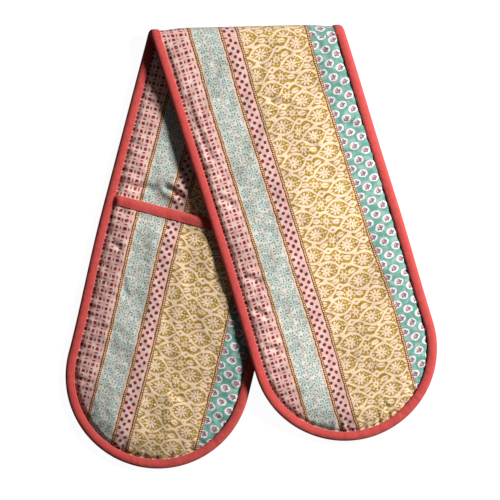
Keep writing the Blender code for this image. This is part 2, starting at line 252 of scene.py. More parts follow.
class Leg:
    """One leg of the folded strip: its plan, and the level of every layer over it."""

    def __init__(self, side):
        g = sizes()
        self.g = g
        self.side = side
        self.upper = side > 0
        self.name = SIDE_NAMES[side]
        self.body = UPPER_BODY if self.upper else LOWER_BODY
        self.length = g.upper_length if self.upper else g.lower_length
        self.half = g.strip_width / 2
        self.round_start = self.length - self.half
        self.mouth = self.length - g.pocket_depth
        self.lip = self.mouth + g.mouth_width
        self.apron = self.mouth - MOUTH_APRON
        self.thickness = 2 * g.cover_cloth + 2 * g.layer_gap + g.main_wadding
        self.pocket_under, self.pocket_over = ("face", "lining") if self.upper else ("lining", "face")
        self.axis_z = self.thickness + g.fold_gap / 2
        self.shift = math.pi * (self.axis_z - self.thickness / 2) * math.tan(g.fold_slant)
        self.edge_lift = LIP_DROP + EDGE_TAPE + g.layer_gap
        self.edge_stack = g.binding_height - 2 * self.edge_lift
        pocket = 2 * g.pocket_cloth + 2 * g.layer_gap + g.pocket_wadding
        mouth = 2 * g.pocket_cloth + 4 * g.layer_gap + MOUTH_WADDING + 2 * EDGE_TAPE
        self.on_pocket = self.thickness + g.layer_gap + max(pocket, mouth) + REST_CLEARANCE
        self.sin, self.cos = side * math.sin(g.fold_slant), math.cos(g.fold_slant)
        self.pinches = pinches_of(self)
        self.ripples = ripples_of(self)

    def plan(self, s, v):
        """Strip coordinates to x and y, with y zero on the fold's axis."""
        v = v + drift(self.side, s)
        return self.side * self.shift / 2 + s * self.sin + v * self.cos, -s * self.cos + v * self.sin

    def other_across(self, s, v):
        """How far a place of this leg lies across the other leg."""
        x, y = self.plan(s, v)
        x = x + self.side * self.shift / 2
        return x * self.cos - y * self.sin - drift(-self.side, -x * self.sin - y * self.cos)

    def fold_line(self, v):
        return v * self.sin / self.cos

    def from_edge(self, s, v):
        past = np.maximum(s - self.round_start, 0)
        return self.half - np.hypot(past, v)

    def inside(self, s, v):
        """How far a point lies inside the binding's inner edge."""
        return self.from_edge(s, v) - self.g.binding_width

    def crown(self, s, v):
        return smooth(self.inside(s, v) / self.g.crown_run)

    def pocketed(self, s):
        run = UPPER_LIFT_RUN if self.upper else EDGE_SHARE_RUN
        return smooth((s - self.apron + run) / run)

    def uncovered(self, s, v):
        """0 where the legs press on each other, 1 where this leg lies clear of the other one."""
        across = self.other_across(s, v)
        return smooth((self.side * across - self.half - PRESSED_MARGIN) / PRESSED_RUN)

    def base(self, s, v):
        """Height of the leg's underside above the table."""
        if not self.upper:
            return np.zeros_like(s + v)
        beyond = self.other_across(s, v) - self.half
        draped = self.on_pocket * (1 - smooth((beyond + DRAPE_INSET) / DRAPE_RUN))
        y = self.plan(s, v)[1]
        return mix(self.thickness + self.g.fold_gap, draped, smooth(-y / BEND_RUN))

    def past_lip(self, s):
        return smooth((s - self.lip) / MOUTH_LOFT_RUN)

    def levels(self, s, v):
        """Heights of every layer over the table: name to (underside, top)."""
        g = self.g
        crown, inside = self.crown(s, v), self.inside(s, v)
        alone = self.edge_stack - 2 * g.cover_cloth - 2 * g.layer_gap
        shared = (alone - 2 * g.pocket_cloth - 3 * g.layer_gap) * WADDING_EDGE_SHARE
        loft = mix(mix(alone, shared, self.pocketed(s)), g.main_wadding, crown)
        spare = self.edge_stack - 2 * g.cover_cloth - 2 * g.pocket_cloth - 5 * g.layer_gap
        pocket_loft = mix(MOUTH_WADDING, g.pocket_wadding, self.past_lip(s))
        pocket_loft = mix(spare * (1 - WADDING_EDGE_SHARE), pocket_loft, crown)
        room = g.hand_room * smooth(inside / HAND_ROOM_RUN) * self.uncovered(s, v)
        lift = MOUTH_LIFT * (1 - self.past_lip(s)) * smooth(inside / MOUTH_LIFT)
        hollow = g.layer_gap + np.maximum(room, lift)
        main = [("outer", g.cover_cloth), ("wadding", loft), ("inner", g.cover_cloth)]
        pocket = [("lining", g.pocket_cloth), ("pocket_wadding", pocket_loft), ("face", g.pocket_cloth)]
        found = {}
        bare = self.base(s, v) + self.edge_lift * (1 - crown)
        if self.upper:
            over = stack_up(found, reversed(pocket), bare, g.layer_gap) - g.layer_gap + hollow
            stack_up(found, reversed(main), mix(bare, over, self.pocketed(s)), g.layer_gap)
        else:
            over = stack_up(found, main, bare, g.layer_gap) - g.layer_gap
            stack_up(found, pocket, over + hollow, g.layer_gap)
        return self.relieved(found, s, v)

    def relieved(self, found, s, v):
        """Presses or swells the soft layers so that the leg's top shows puckers, waves and creases."""
        relief, under = self.relief(s, v), self.under_relief(s, v)
        main, pocket = ["outer", "wadding", "inner"], ["lining", "pocket_wadding", "face"]
        if self.upper:
            main.reverse()
            pocket.reverse()
        most = -PRESS_SHARE * softness(found, main)
        change = np.maximum(relief - under, most)
        pressed(found, main, relief - change if self.upper else under, change)
        if self.upper:
            pressed(found, pocket, under, relief - change - under)
        else:
            pressed(found, pocket, change, relief - change)
        return found

    def edge_place(self, s, v):
        """Distance along the binding, from the fold down the left side, round and back."""
        past = np.maximum(s - self.round_start, 0)
        turned = np.arctan2(past, np.maximum(np.abs(v), MM)) * self.half
        half_way = np.minimum(s, self.round_start) + turned
        whole = 2 * self.round_start + math.pi * self.half
        return np.where(v < 0, half_way, whole - half_way)

    def relief(self, s, v):
        inside = self.inside(s, v)
        rise = self.g.puff * smooth(inside / PUFF_RUN) - self.g.groove * bump(inside / GROOVE_RUN - 0.2)
        rise += settled(self, s, v) + self.fullness(s, v)
        place = self.edge_place(s, v)
        depth_in = np.maximum(inside, 0)
        for at, depth, width, reach, lean in self.pinches:
            off = (place - at - lean * depth_in) / width
            rise -= depth * valley(off, 0.35, 2.1) * smooth(1 - depth_in / reach)
        for size, along, across, phase in self.ripples:
            rise += size * np.sin(along * s + across * v + phase) * smooth(inside / self.g.crown_run)
        for crease in CREASES[self.name]:
            rise += crease_relief(s, v, crease)
        under_tape = smooth((inside + UNDER_BINDING_RUN) / UNDER_BINDING_RUN)
        return rise * under_tape * smooth((s - self.fold_line(v)) / CALM_RUN)

    def fullness(self, s, v):
        """Makes the padding plump beside the binding and level beyond, and presses the pocket down."""
        crown, pocketed = self.crown(s, v), self.pocketed(s)
        height = self.thickness - self.edge_lift - self.edge_stack
        height = height + (self.on_pocket - self.thickness) * pocketed
        early = smooth(self.inside(s, v) / FULL_RUN)
        free = 1 if self.upper else self.uncovered(s, v)
        return FULL_SHARE * height * (early - crown) - PRESSED_POCKET * early * pocketed * free

    def under_relief(self, s, v):
        """The upper leg's underside: small hollows only, where nothing presses on it."""
        if not self.upper:
            return np.zeros_like(s + v)
        size, along, across, phase = self.ripples[0]
        hollow = 0.5 * size * (1 + np.sin(across * s - along * v + phase))
        return hollow * self.uncovered(s, v) * self.crown(s, v)


def stack_up(found, layers, level, gap):
    """Lays layers one on another from a level, and gives the level over the last one's gap."""
    for name, thickness in layers:
        found[name] = (level, level + thickness)
        level = level + thickness + gap
    return level


def softness(found, names):
    """Wadding and air in a stack of layers: its height without its cloths."""
    cloth = sum(found[name][1] - found[name][0] for name in names if "wadding" not in name)
    return found[names[-1]][1] - found[names[0]][0] - cloth


def pressed(found, names, shift, change):
    """Shifts a stack's underside, and changes its wadding and air so that it grows by some height."""
    share = 1 + change / softness(found, names)
    old = found[names[0]][0]
    level = old + shift
    for name in names:
        low, high = found[name]
        level = level + (low - old) * share
        thick = (high - low) * (share if "wadding" in name else 1)
        found[name] = (level, level + thick)
        level, old = level + thick, high


def draws(leg, which):
    """Random draws of their own for each leg and each use."""
    return np.random.default_rng(leg.g.seed + which + (0 if leg.upper else LOWER_DRAW))


def pinches_of(leg):
    """Puckers where the cloth is gathered into the binding: place, depth, width, reach and lean."""
    g = leg.g
    draw = draws(leg, PUCKER_DRAW)
    place, found = g.pucker_spacing * PUCKER_STEPS[0], []
    while place < 2 * leg.round_start + math.pi * leg.half:
        depth = g.pucker_depth * draw.uniform(*PUCKER_DEPTHS)
        width = draw.uniform(*PUCKER_WIDTHS) * MM
        reach = draw.uniform(*PUCKER_REACHES) * MM
        found.append((place, depth, width, reach, draw.uniform(*PUCKER_LEANS)))
        place += g.pucker_spacing * draw.uniform(*PUCKER_STEPS)
    return found


def ripples_of(leg):
    """Waves of the wadding: height, wave numbers along and across, and phase."""
    g = leg.g
    draw = draws(leg, RIPPLE_DRAW)
    found = []
    for wave_length, share in RIPPLES:
        for _ in range(2):
            turn, number = draw.uniform(0, math.pi), 2 * math.pi / (wave_length * MM)
            phase = draw.uniform(0, 2 * math.pi)
            found.append((g.wave_height * share, number * math.cos(turn), number * math.sin(turn), phase))
    return found


# Cloth simulation of each leg's top

LATTICE = 3.5 * MM
MODEL_SCALE = 10
SETTLE_FRAMES = 30
PAST_FOLD = 42 * MM
LUMP = 12 * MM
EDGE_REACH = 34 * MM
MIDDLE_SHARE, EDGE_SHARE = 0.6, 1.15
START_ROUGHNESS = 0.05 * MM
SETTLED_SHARE = 0.8
SETTLED = {}


def settled(leg, s, v):
    """Height of the settled cloth over its own smooth form, at places of the strip."""
    if leg.name not in SETTLED:
        SETTLED[leg.name] = settle(leg)
    field = SETTLED[leg.name]
    share = mix(MIDDLE_SHARE, EDGE_SHARE, np.exp(-np.maximum(leg.inside(s, v), 0) / EDGE_REACH))
    row = (s + PAST_FOLD) / LATTICE
    column = v / LATTICE + (field.shape[1] - 1) / 2
    return sampled(field, row, column) * share


def sampled(field, row, column):
    """The field between its lattice points, by cubic splines."""
    found = 0
    row0, column0 = np.floor(row).astype(int), np.floor(column).astype(int)
    for i, row_share in enumerate(spline_shares(row - row0)):
        for j, column_share in enumerate(spline_shares(column - column0)):
            near_row = np.clip(row0 + i - 1, 0, field.shape[0] - 1)
            near_column = np.clip(column0 + j - 1, 0, field.shape[1] - 1)
            found = found + row_share * column_share * field[near_row, near_column]
    return found


def spline_shares(t):
    """Shares of the four lattice points round a place, t of the way from the second to the third."""
    second = (3 * t ** 3 - 6 * t * t + 4) / 6
    third = (-3 * t ** 3 + 3 * t * t + 3 * t + 1) / 6
    return (1 - t) ** 3 / 6, second, third, t ** 3 / 6


def blurred(field, reach):
    """The field smoothed both ways by a bell curve, with reach in lattice steps."""
    steps = np.arange(-round(3 * reach), round(3 * reach) + 1)
    bell = np.exp(-0.5 * (steps / reach) ** 2)
    for _ in range(2):
        field = np.stack([np.convolve(line, bell / bell.sum(), "same") for line in field]).T
    return field


def lattice_of(leg):
    """Strip coordinates of the lattice's points, and which of them no binding holds."""
    rows = math.ceil((leg.length + PAST_FOLD) / LATTICE) + 1
    half = math.ceil(leg.half / LATTICE)
    s = LATTICE * np.arange(rows)[:, None] - PAST_FOLD
    v = LATTICE * np.arange(-half, half + 1)[None, :]
    s, v = s + 0 * v, v + 0 * s
    free = leg.inside(s, v) > 0
    if not leg.upper:
        free &= np.abs(s - leg.mouth - leg.g.mouth_width / 2) > leg.g.mouth_width / 2
    return s, v, free


def simulated(start, free, slack):
    """Heights of a sheet's points after Blender's cloth simulation."""
    index = np.arange(free.size).reshape(free.shape)
    faces = np.stack([index[:-1, :-1], index[1:, :-1], index[1:, 1:], index[:-1, 1:]], axis=-1)
    mesh = bpy.data.meshes.new("settling")
    mesh.from_pydata(start.reshape(-1, 3).tolist(), [], faces.reshape(-1, 4).tolist())
    sheet = bpy.data.objects.new("settling", mesh)
    bpy.context.scene.collection.objects.link(sheet)
    sheet.vertex_groups.new(name="held").add(index[~free].tolist(), 1, "REPLACE")
    cloth = sheet.modifiers.new("Cloth", "CLOTH")
    cloth_settings(cloth, slack)
    for number in range(1, SETTLE_FRAMES + 1):
        bpy.context.scene.frame_set(number)
    settled_sheet = sheet.evaluated_get(bpy.context.evaluated_depsgraph_get())
    places = np.empty(3 * free.size)
    settled_sheet.data.vertices.foreach_get("co", places)
    bpy.data.objects.remove(sheet)
    bpy.data.meshes.remove(mesh)
    bpy.context.scene.frame_set(1)
    return places[2::3].reshape(free.shape)


def settle(leg):
    """Settles a leg's top cloth: too large for its edge, held there and blown up by the wadding."""
    s, v, free = lattice_of(leg)
    roughness = draws(leg, ROUGHNESS_DRAW).normal(0, START_ROUGHNESS, s.shape)
    start = np.stack([s, v, roughness], axis=-1) * MODEL_SCALE
    height = simulated(start, free, leg.g.slack) / MODEL_SCALE
    inner = free.astype(float)
    reach = LUMP / LATTICE
    broad = blurred(height * inner, reach) / np.maximum(blurred(inner, reach), 0.01)
    most = leg.g.settled_depth
    return np.clip((height - broad) * SETTLED_SHARE, -most, most) * inner


def cloth_settings(cloth, slack):
    """How heavy, stiff and large the simulated cloth is, and the pressure of the wadding."""
    rules = cloth.settings
    rules.vertex_group_mass = "held"
    rules.quality, rules.mass = 6, 0.15
    rules.tension_stiffness = rules.compression_stiffness = 15
    rules.shear_stiffness, rules.bending_stiffness = 5, 3
    rules.tension_damping = rules.compression_damping = rules.shear_damping = 5
    rules.bending_damping, rules.air_damping = 0.5, 3
    rules.shrink_min = -slack
    rules.use_pressure, rules.uniform_pressure_force = True, 1.5
    rules.effector_weights.gravity = 0
    cloth.collision_settings.use_collision = False
    cloth.point_cache.frame_start, cloth.point_cache.frame_end = 1, SETTLE_FRAMES


CREASE_SHARE = 1.7

# Creases that show: start and end in strip coordinates, bow, depth and width, all in millimetres
CREASES = {
    "upper": (
        ((18, -76), (125, -66), 5, 0.8, 3.2),
        ((140, -81), (160, -60), -2, 1.0, 3.0),
        ((216, -81), (236, -56), 2, 1.0, 3.0),
        ((256, -81), (273, -62), -2, 0.9, 2.8),
        ((292, -81), (303, -58), 2, 1.0, 3.0),
        ((16, 63), (46, 70), 3, 0.6, 3.0),
        ((105, 50), (121, 80), -3, 1.0, 3.0),
        ((134, 45), (141, 81), 2, 1.1, 3.0),
        ((57, -6), (79, 28), 4, 0.7, 3.5),
        ((111, 16), (132, 33), -3, 0.7, 3.4),
        ((172, -40), (186, -8), 3, 0.5, 4.0),
        ((228, 30), (246, 62), -4, 0.5, 4.0),
    ),
    "lower": (
        ((170, -80), (162, -40), 3, 1.6, 3.2),
        ((161, -44), (171, -10), -2, 1.7, 3.0),
        ((316, -80), (309, -58), 2, 1.0, 3.0),
        ((252, -56), (281, -44), 3, 0.7, 3.6),
        ((228, -80), (236, -60), -2, 0.8, 3.0),
        ((350, 10), (362, 40), 3, 0.6, 3.6),
        ((214, -30), (224, -2), 3, 0.5, 3.6),
    ),
}


def crease_relief(s, v, crease):
    """A valley from one place to another."""
    (s0, v0), (s1, v1), bow, depth, width = crease
    ds, dv = (s1 - s0) * MM, (v1 - v0) * MM
    reach = math.hypot(ds, dv)
    along = ((s - s0 * MM) * ds + (v - v0 * MM) * dv) / reach ** 2
    off = ((s - s0 * MM) * dv - (v - v0 * MM) * ds) / reach
    off = (off - bow * MM * np.sin(math.pi * np.clip(along, 0, 1))) / (width * MM)
    ends = smooth(1.6 * bump(2 * along - 1))
    return -CREASE_SHARE * depth * MM * valley(off, 0.4, 1.9) * ends


# Meshes

def mid_axis():
    """The fold's axis in the model's frame."""
    return Vector(FOLD["pos_m"])


def in_frame(x, y, z):
    """Places of the fold's frame in the model's frame."""
    g = sizes()
    reach = (g.upper_length - g.lower_length) * math.sin(g.fold_slant)
    lean = (g.lower_lean - g.upper_lean) * math.cos(g.fold_slant)
    return np.stack([x - (reach + lean) / 2, y + mid_axis().y, z + np.zeros_like(x)], axis=-1)


def closed_grid(name, over, under, cloth, material):
    """A thin closed sheet from two grids of places, with the cloth's own coordinates as its UV map."""
    rows, columns = over.shape[:2]
    points = np.concatenate([over.reshape(-1, 3), under.reshape(-1, 3)])
    flat = np.concatenate([cloth.reshape(-1, 2)] * 2)
    index = np.arange(rows * columns).reshape(rows, columns)
    below = index + rows * columns

    def quads(a, b, c, d):
        return np.stack([a.ravel(), b.ravel(), c.ravel(), d.ravel()], axis=1)

    def rim(line, other):
        return quads(line[:-1], line[1:], other[1:], other[:-1])

    faces = np.concatenate([
        quads(index[:-1, :-1], index[1:, :-1], index[1:, 1:], index[:-1, 1:]),
        quads(below[:-1, :-1], below[:-1, 1:], below[1:, 1:], below[1:, :-1]),
        rim(index[:, 0], below[:, 0])[:, ::-1], rim(index[:, -1], below[:, -1]),
        rim(index[0], below[0]), rim(index[-1], below[-1])[:, ::-1],
    ])
    return mesh_piece(name, points, faces.tolist(), flat, material)


def closed_tube(name, sections, cloth, material):
    """A closed tube through sections of places, with both ends capped by a fan."""
    count, around = sections.shape[:2]
    points = sections.reshape(-1, 3)
    middles = sections[[0, -1]].mean(axis=1)
    points = np.concatenate([points, middles])
    flat = np.concatenate([cloth.reshape(-1, 2), cloth[[0, -1]].mean(axis=1)])
    index = np.arange(count * around).reshape(count, around)
    turned = np.roll(index, -1, axis=1)
    sides = np.stack([index[:-1], index[1:], turned[1:], turned[:-1]], axis=-1).reshape(-1, 4)
    start, end = count * around, count * around + 1
    caps = [np.stack([index[0], turned[0], np.full(around, start)], axis=1),
            np.stack([turned[-1], index[-1], np.full(around, end)], axis=1)]
    return mesh_piece(name, points, [*sides.tolist(), *caps[0].tolist(), *caps[1].tolist()], flat, material)


def mesh_piece(name, points, faces, flat, material):
    """A piece of cloth from its points and faces, with its flat places as its UV map."""
    mesh = bpy.data.meshes.new(name)
    mesh.from_pydata(points.tolist(), [], faces)
    layer = mesh.uv_layers.new(name="cloth")
    loops = np.empty(len(mesh.loops), dtype=np.int32)
    mesh.loops.foreach_get("vertex_index", loops)
    layer.data.foreach_set("uv", flat[loops].astype(np.float32).ravel())
    work = bmesh.new()
    work.from_mesh(mesh)
    bmesh.ops.remove_doubles(work, verts=work.verts, dist=MM / 1000)
    bmesh.ops.recalc_face_normals(work, faces=work.faces)
    work.to_mesh(mesh)
    work.free()
    mesh.shade_smooth()
    mesh.set_sharp_from_angle(angle=SMOOTH_ANGLE)
    mesh.materials.append(material)
    piece = bpy.data.objects.new(name, mesh)
    bpy.context.scene.collection.objects.link(piece)
    return piece


def leg_grid(leg, spacing, start=None, inset=PANEL_INSET):
    """Strip coordinates over a leg, row by row from the fold or the mouth to the tip."""
    reach = leg.half - inset
    across = np.linspace(-1, 1, 2 * round(reach / spacing) + 1)
    v = across * reach
    first = leg.fold_line(v) if start is None else np.full_like(v, start)
    count = round((leg.round_start - first.mean()) / spacing)
    shares = np.linspace(0, 1, count + 1)[:, None]
    straight = first + (leg.round_start - first) * shares
    angles = np.linspace(0, math.pi / 2, round(reach * math.pi / 2 / spacing) + 1)[1:, None]
    s = np.concatenate([straight, leg.round_start + reach * np.sin(angles) + 0 * v])
    v = np.concatenate([straight * 0 + v, reach * across * np.cos(angles)])
    return s, v


FINE, MIDDLE = 1.7 * MM, 2.6 * MM
FOLD_SLID, FOLD_SLID_RUN = 1.8 * MM, 60 * MM
SLID, SLID_SHARE, SLID_PLACE, SLID_REACH = 2.6 * MM, 0.025, 305 * MM, 88 * MM


def fold_arc(leg, which):
    """Length of a cover's cloth round the fold."""
    middle = leg.g.cover_cloth / 2
    return math.pi * (leg.axis_z - middle if which == "outer" else leg.g.fold_gap / 2 + middle)


def along_print(leg, s, which):
    """Place along the strip's cloth, from the lower tip's side through the fold to the upper leg."""
    return s + fold_arc(leg, which) if leg.upper else -s


def askew(leg, which, s, v):
    """How far the print on the upper leg's outer side has slid across."""
    if which != "outer" or not leg.upper:
        return 0 * s
    slid = bump((s - SLID_PLACE) / SLID_REACH) * (SLID + SLID_SHARE * v)
    return FOLD_SLID * (1 - smooth(s / FOLD_SLID_RUN)) + slid


def leg_sheet(leg, which, name, material, spacing, start=None, slimmer=0.0):
    s, v = leg_grid(leg, spacing, start)
    low, high = leg.levels(s, v)[which]
    x, y = leg.plan(s, v)
    over = in_frame(x, y, high - slimmer)
    under = in_frame(x, y, low + slimmer)
    cloth = np.stack([v - askew(leg, which, s, v), along_print(leg, s, which)], axis=-1)
    return closed_grid(name, over, under, cloth, material)


FOLD_ROWS = 36


def bent(leg, v, height, share):
    """Places of the strip on its way round the fold, at a share of the half turn."""
    angle = math.pi * (share - 0.5)
    radius = leg.axis_z - height
    x = v / leg.cos + leg.shift * (share - 0.5)
    return in_frame(x, radius * np.cos(angle), leg.axis_z + radius * np.sin(angle))


def fold_sheet(lower, upper, which, name, material, spacing, slimmer=0.0):
    """A layer's stretch round the fold, which meets both legs' layers."""
    reach = lower.half - PANEL_INSET
    v = np.linspace(-reach, reach, 2 * round(reach / spacing) + 1)
    share = np.linspace(0, 1, FOLD_ROWS + 1)[:, None]
    low, high = lower.levels(lower.fold_line(v), v)[which]
    other_low, other_high = upper.levels(upper.fold_line(v), v)[which]
    outside = mix(low, 2 * lower.axis_z - other_high, smooth(share)) + slimmer
    inside = mix(high, 2 * lower.axis_z - other_low, smooth(share)) - slimmer
    slid = FOLD_SLID * smooth(share) if which == "outer" else 0 * share
    cloth = np.stack([v - slid, fold_arc(lower, which) * share + 0 * v], axis=-1)
    piece = closed_grid(name, bent(lower, v, inside, share), bent(lower, v, outside, share), cloth, material)
    return piece, float(high.max())


def ride_fold(piece, highest, leg):
    """Bakes a fold piece's placement into its mesh."""
    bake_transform(piece)


# Binding

TAPE_OVERLAP = 0.9 * MM
TAPE_RISE = 0.6 * MM
TAPE_CREST = 4.6 * MM
TAPE_MIDDLE = 5 * MM
TAPE_POINTS = 9
TAPE_STEP = 1.8 * MM
TAPE_WAVES = ((0.12 * MM, 23 * MM, 1), (0.08 * MM, 9 * MM, 0))
TAPE_DRAWN, TAPE_DRAWN_WIDTH = 0.22, 1.4
TAPE_WOBBLE, TAPE_WOBBLE_LENGTH = 0.25 * MM, 31 * MM


def binding_outline(g):
    """Closed outline of the folded tape as insets from the strip's edge and heights."""
    half = g.binding_height / 2
    turns = np.linspace(0, math.pi / 2, TAPE_POINTS)
    outer_inset = TAPE_CREST * (1 - np.sin(turns) ** 0.85)
    slope = np.linspace(1, 0, TAPE_POINTS)[:-1]
    top_inset = TAPE_CREST + (g.binding_width + TAPE_OVERLAP - TAPE_CREST) * slope
    inset = np.concatenate([top_inset, outer_inset])
    sides = []
    for rise in (TAPE_RISE, 0):
        drop = (1.25 * LIP_DROP + rise) * slope ** 2 + 0.6 * LIP_DROP * slope ** 10
        sides.append(np.concatenate([half + rise - drop, (half + rise) * np.cos(turns) ** 0.8]))
    over, under = sides
    return np.concatenate([inset, inset[-2::-1]]), half + np.concatenate([over, -under[-2::-1]])


def inner_outline(inset, height, g):
    """The tape's inner face, one cloth inwards."""
    half = g.binding_height / 2
    pulled = TAPE_MIDDLE + (inset - TAPE_MIDDLE) * (1 - EDGE_TAPE / TAPE_MIDDLE)
    return np.where(inset < TAPE_MIDDLE, pulled, inset), half + (height - half) * (1 - EDGE_TAPE / half)


def tape_section(g):
    """Insets and heights all round the tape's two faces, and the distance round them."""
    inset, height = binding_outline(g)
    inner_inset, inner_height = inner_outline(inset, height, g)
    insets = np.concatenate([inset, inner_inset[::-1]])
    heights = np.concatenate([height, inner_height[::-1]])
    return insets, heights, np.concatenate([[0], np.cumsum(np.hypot(np.diff(insets), np.diff(heights)))])


def edge_line(leg, spacing):
    """The strip's edge from the left of the fold round the tip, as functions of an inset."""
    straight = np.linspace(0, 1, round(leg.round_start / spacing) + 1)
    angles = np.linspace(0, math.pi, round(math.pi * leg.half / spacing) + 1)[1:-1]

    def place(inset):
        v = leg.half - inset
        left = mix(leg.fold_line(-v), leg.round_start, straight)
        right = mix(leg.fold_line(v), leg.round_start, straight[::-1])
        s = np.concatenate([left, leg.round_start + v * np.sin(angles), right])
        v = np.concatenate([straight * 0 - v, -v * np.cos(angles), straight * 0 + v])
        return s, v

    s, v = place(0)
    steps = np.hypot(np.diff(s), np.diff(v))
    return place, np.concatenate([[0], np.cumsum(steps)])


def binding_wave(leg, place, inset):
    """The tape's own unevenness: it is drawn down at the puckers and swells between them."""
    lift = sum(size * np.sin(place / wave_length + phase) for size, wave_length, phase in TAPE_WAVES)
    for at, depth, width, _, _ in leg.pinches:
        lift = lift - TAPE_DRAWN * depth * np.exp(-((place - at) / (TAPE_DRAWN_WIDTH * width)) ** 2)
    return lift * smooth(inset / (2 * MM))


def tape_wobble(run):
    """A slow rise and fall of the tape's top along its run."""
    return TAPE_WOBBLE * np.sin(run / TAPE_WOBBLE_LENGTH)


def leg_binding(leg, name, material):
    place, run = edge_line(leg, TAPE_STEP)
    sections, cloth = [], []
    for one_inset, one_height, one_around in zip(*tape_section(leg.g)):
        wobble = tape_wobble(run) * (one_inset > 0)
        s, v = place(one_inset)
        x, y = leg.plan(s, v)
        top = smooth((one_height - leg.g.binding_height / 2) / MM)
        calm = smooth(s / CALM_RUN)
        z = leg.base(s, v) + one_height + top * calm * (binding_wave(leg, run, one_inset) + wobble)
        sections.append(in_frame(x, y, z))
        cloth.append(np.stack([run + 0 * s, one_around + 0 * s], axis=-1))
    return closed_tube(name, np.stack(sections, axis=1), np.stack(cloth, axis=1), material)


def fold_step(lower, upper, v):
    """How much farther in the tape lies on the upper leg's side of the fold than on the lower leg's."""
    return 2 * lower.axis_z - upper.base(upper.fold_line(v), v) - lower.g.binding_height


def fold_binding(lower, upper, sign, name, material):
    insets, heights, around = tape_section(lower.g)
    share = np.linspace(0, 1, FOLD_ROWS + 1)[:, None]
    v = sign * (lower.half - insets)
    level = heights + fold_step(lower, upper, v) * smooth(share)
    cloth = np.stack([math.pi * lower.axis_z * share + 0 * v, around + 0 * share], axis=-1)
    return closed_tube(name, bent(lower, v, level, share), cloth, material)


MOUTH_NOSE = 1.2 * MM
MOUTH_ROUND = 3 * MM
MOUTH_TUCK = 9 * MM
MOUTH_SWELL, MOUTH_SWELL_PLACE, MOUTH_SWELL_RUN = 0.35 * MM, 3.5 * MM, 6 * MM


def mouth_outline(leg):
    """The band over a pocket's mouth: places along the leg, share of its height and cloth inwards."""
    band = leg.g.mouth_width - MOUTH_NOSE
    flat = np.linspace(band, MOUTH_ROUND, 6)[:-1]
    turn = np.linspace(0, math.pi, 13)
    nose = MOUTH_ROUND - (MOUTH_ROUND + MOUTH_NOSE) * np.sin(turn)
    along = np.concatenate([flat, nose, flat[::-1]])
    share = np.concatenate([flat * 0 + 1, np.cos(turn), flat * 0 - 1])
    inner = np.where(along < MOUTH_ROUND, MOUTH_ROUND + (along - MOUTH_ROUND) * 0.8, along)
    return along, share, inner


def leg_mouth(leg, name, material):
    """The band folded over a pocket's mouth, its ends tucked under the side bindings."""
    along, share, inner = mouth_outline(leg)
    reach = leg.half - MOUTH_TUCK
    v = np.linspace(-reach, reach, 2 * round(reach / FINE) + 1)[:, None]
    sections, cloth = [], []
    for place, inward in ((along, 0.0), (inner[::-1], EDGE_TAPE)):
        side = share if inward == 0 else share[::-1]
        s = leg.mouth + np.maximum(place, 0) + 0 * v
        found = leg.levels(s, v + 0 * s)
        low = found[leg.pocket_under][0] - leg.g.layer_gap - EDGE_TAPE + inward
        high = found[leg.pocket_over][1] + leg.g.layer_gap + EDGE_TAPE - inward
        swell = MOUTH_SWELL * bump((place - MOUTH_SWELL_PLACE) / MOUTH_SWELL_RUN) * side
        z = (low + high) / 2 + (high - low) / 2 * side + swell
        x, y = leg.plan(leg.mouth + place + 0 * v, v + 0 * s)
        sections.append(in_frame(x, y, z))
        cloth.append(np.stack([v + 0 * s, place * np.sign(side + 0.01) + 0 * v], axis=-1))
    return closed_tube(name, np.concatenate(sections, axis=1), np.concatenate(cloth, axis=1), material)


# Stitching

STITCH_INSET = 7.8 * MM
MOUTH_STITCH = 1.5 * MM
STITCH_SKEW = (0.03, 0.05, 0.09)
STITCH_LINE_STEP = 1.2 * MM
MOUTH_LINE_POINTS, FOLD_LINE_POINTS = 160, 60


def path_mesh(name, lines):
    """Open lines of places as one mesh of edges."""
    points = np.concatenate(lines)
    ends = np.cumsum([len(line) for line in lines])[:-1]
    edges = [(i, i + 1) for i in range(len(points) - 1) if i + 1 not in ends]
    mesh = bpy.data.meshes.new(name)
    mesh.from_pydata(points.tolist(), edges, [])
    path = bpy.data.objects.new(name, mesh)
    bpy.context.scene.collection.objects.link(path)
    return path


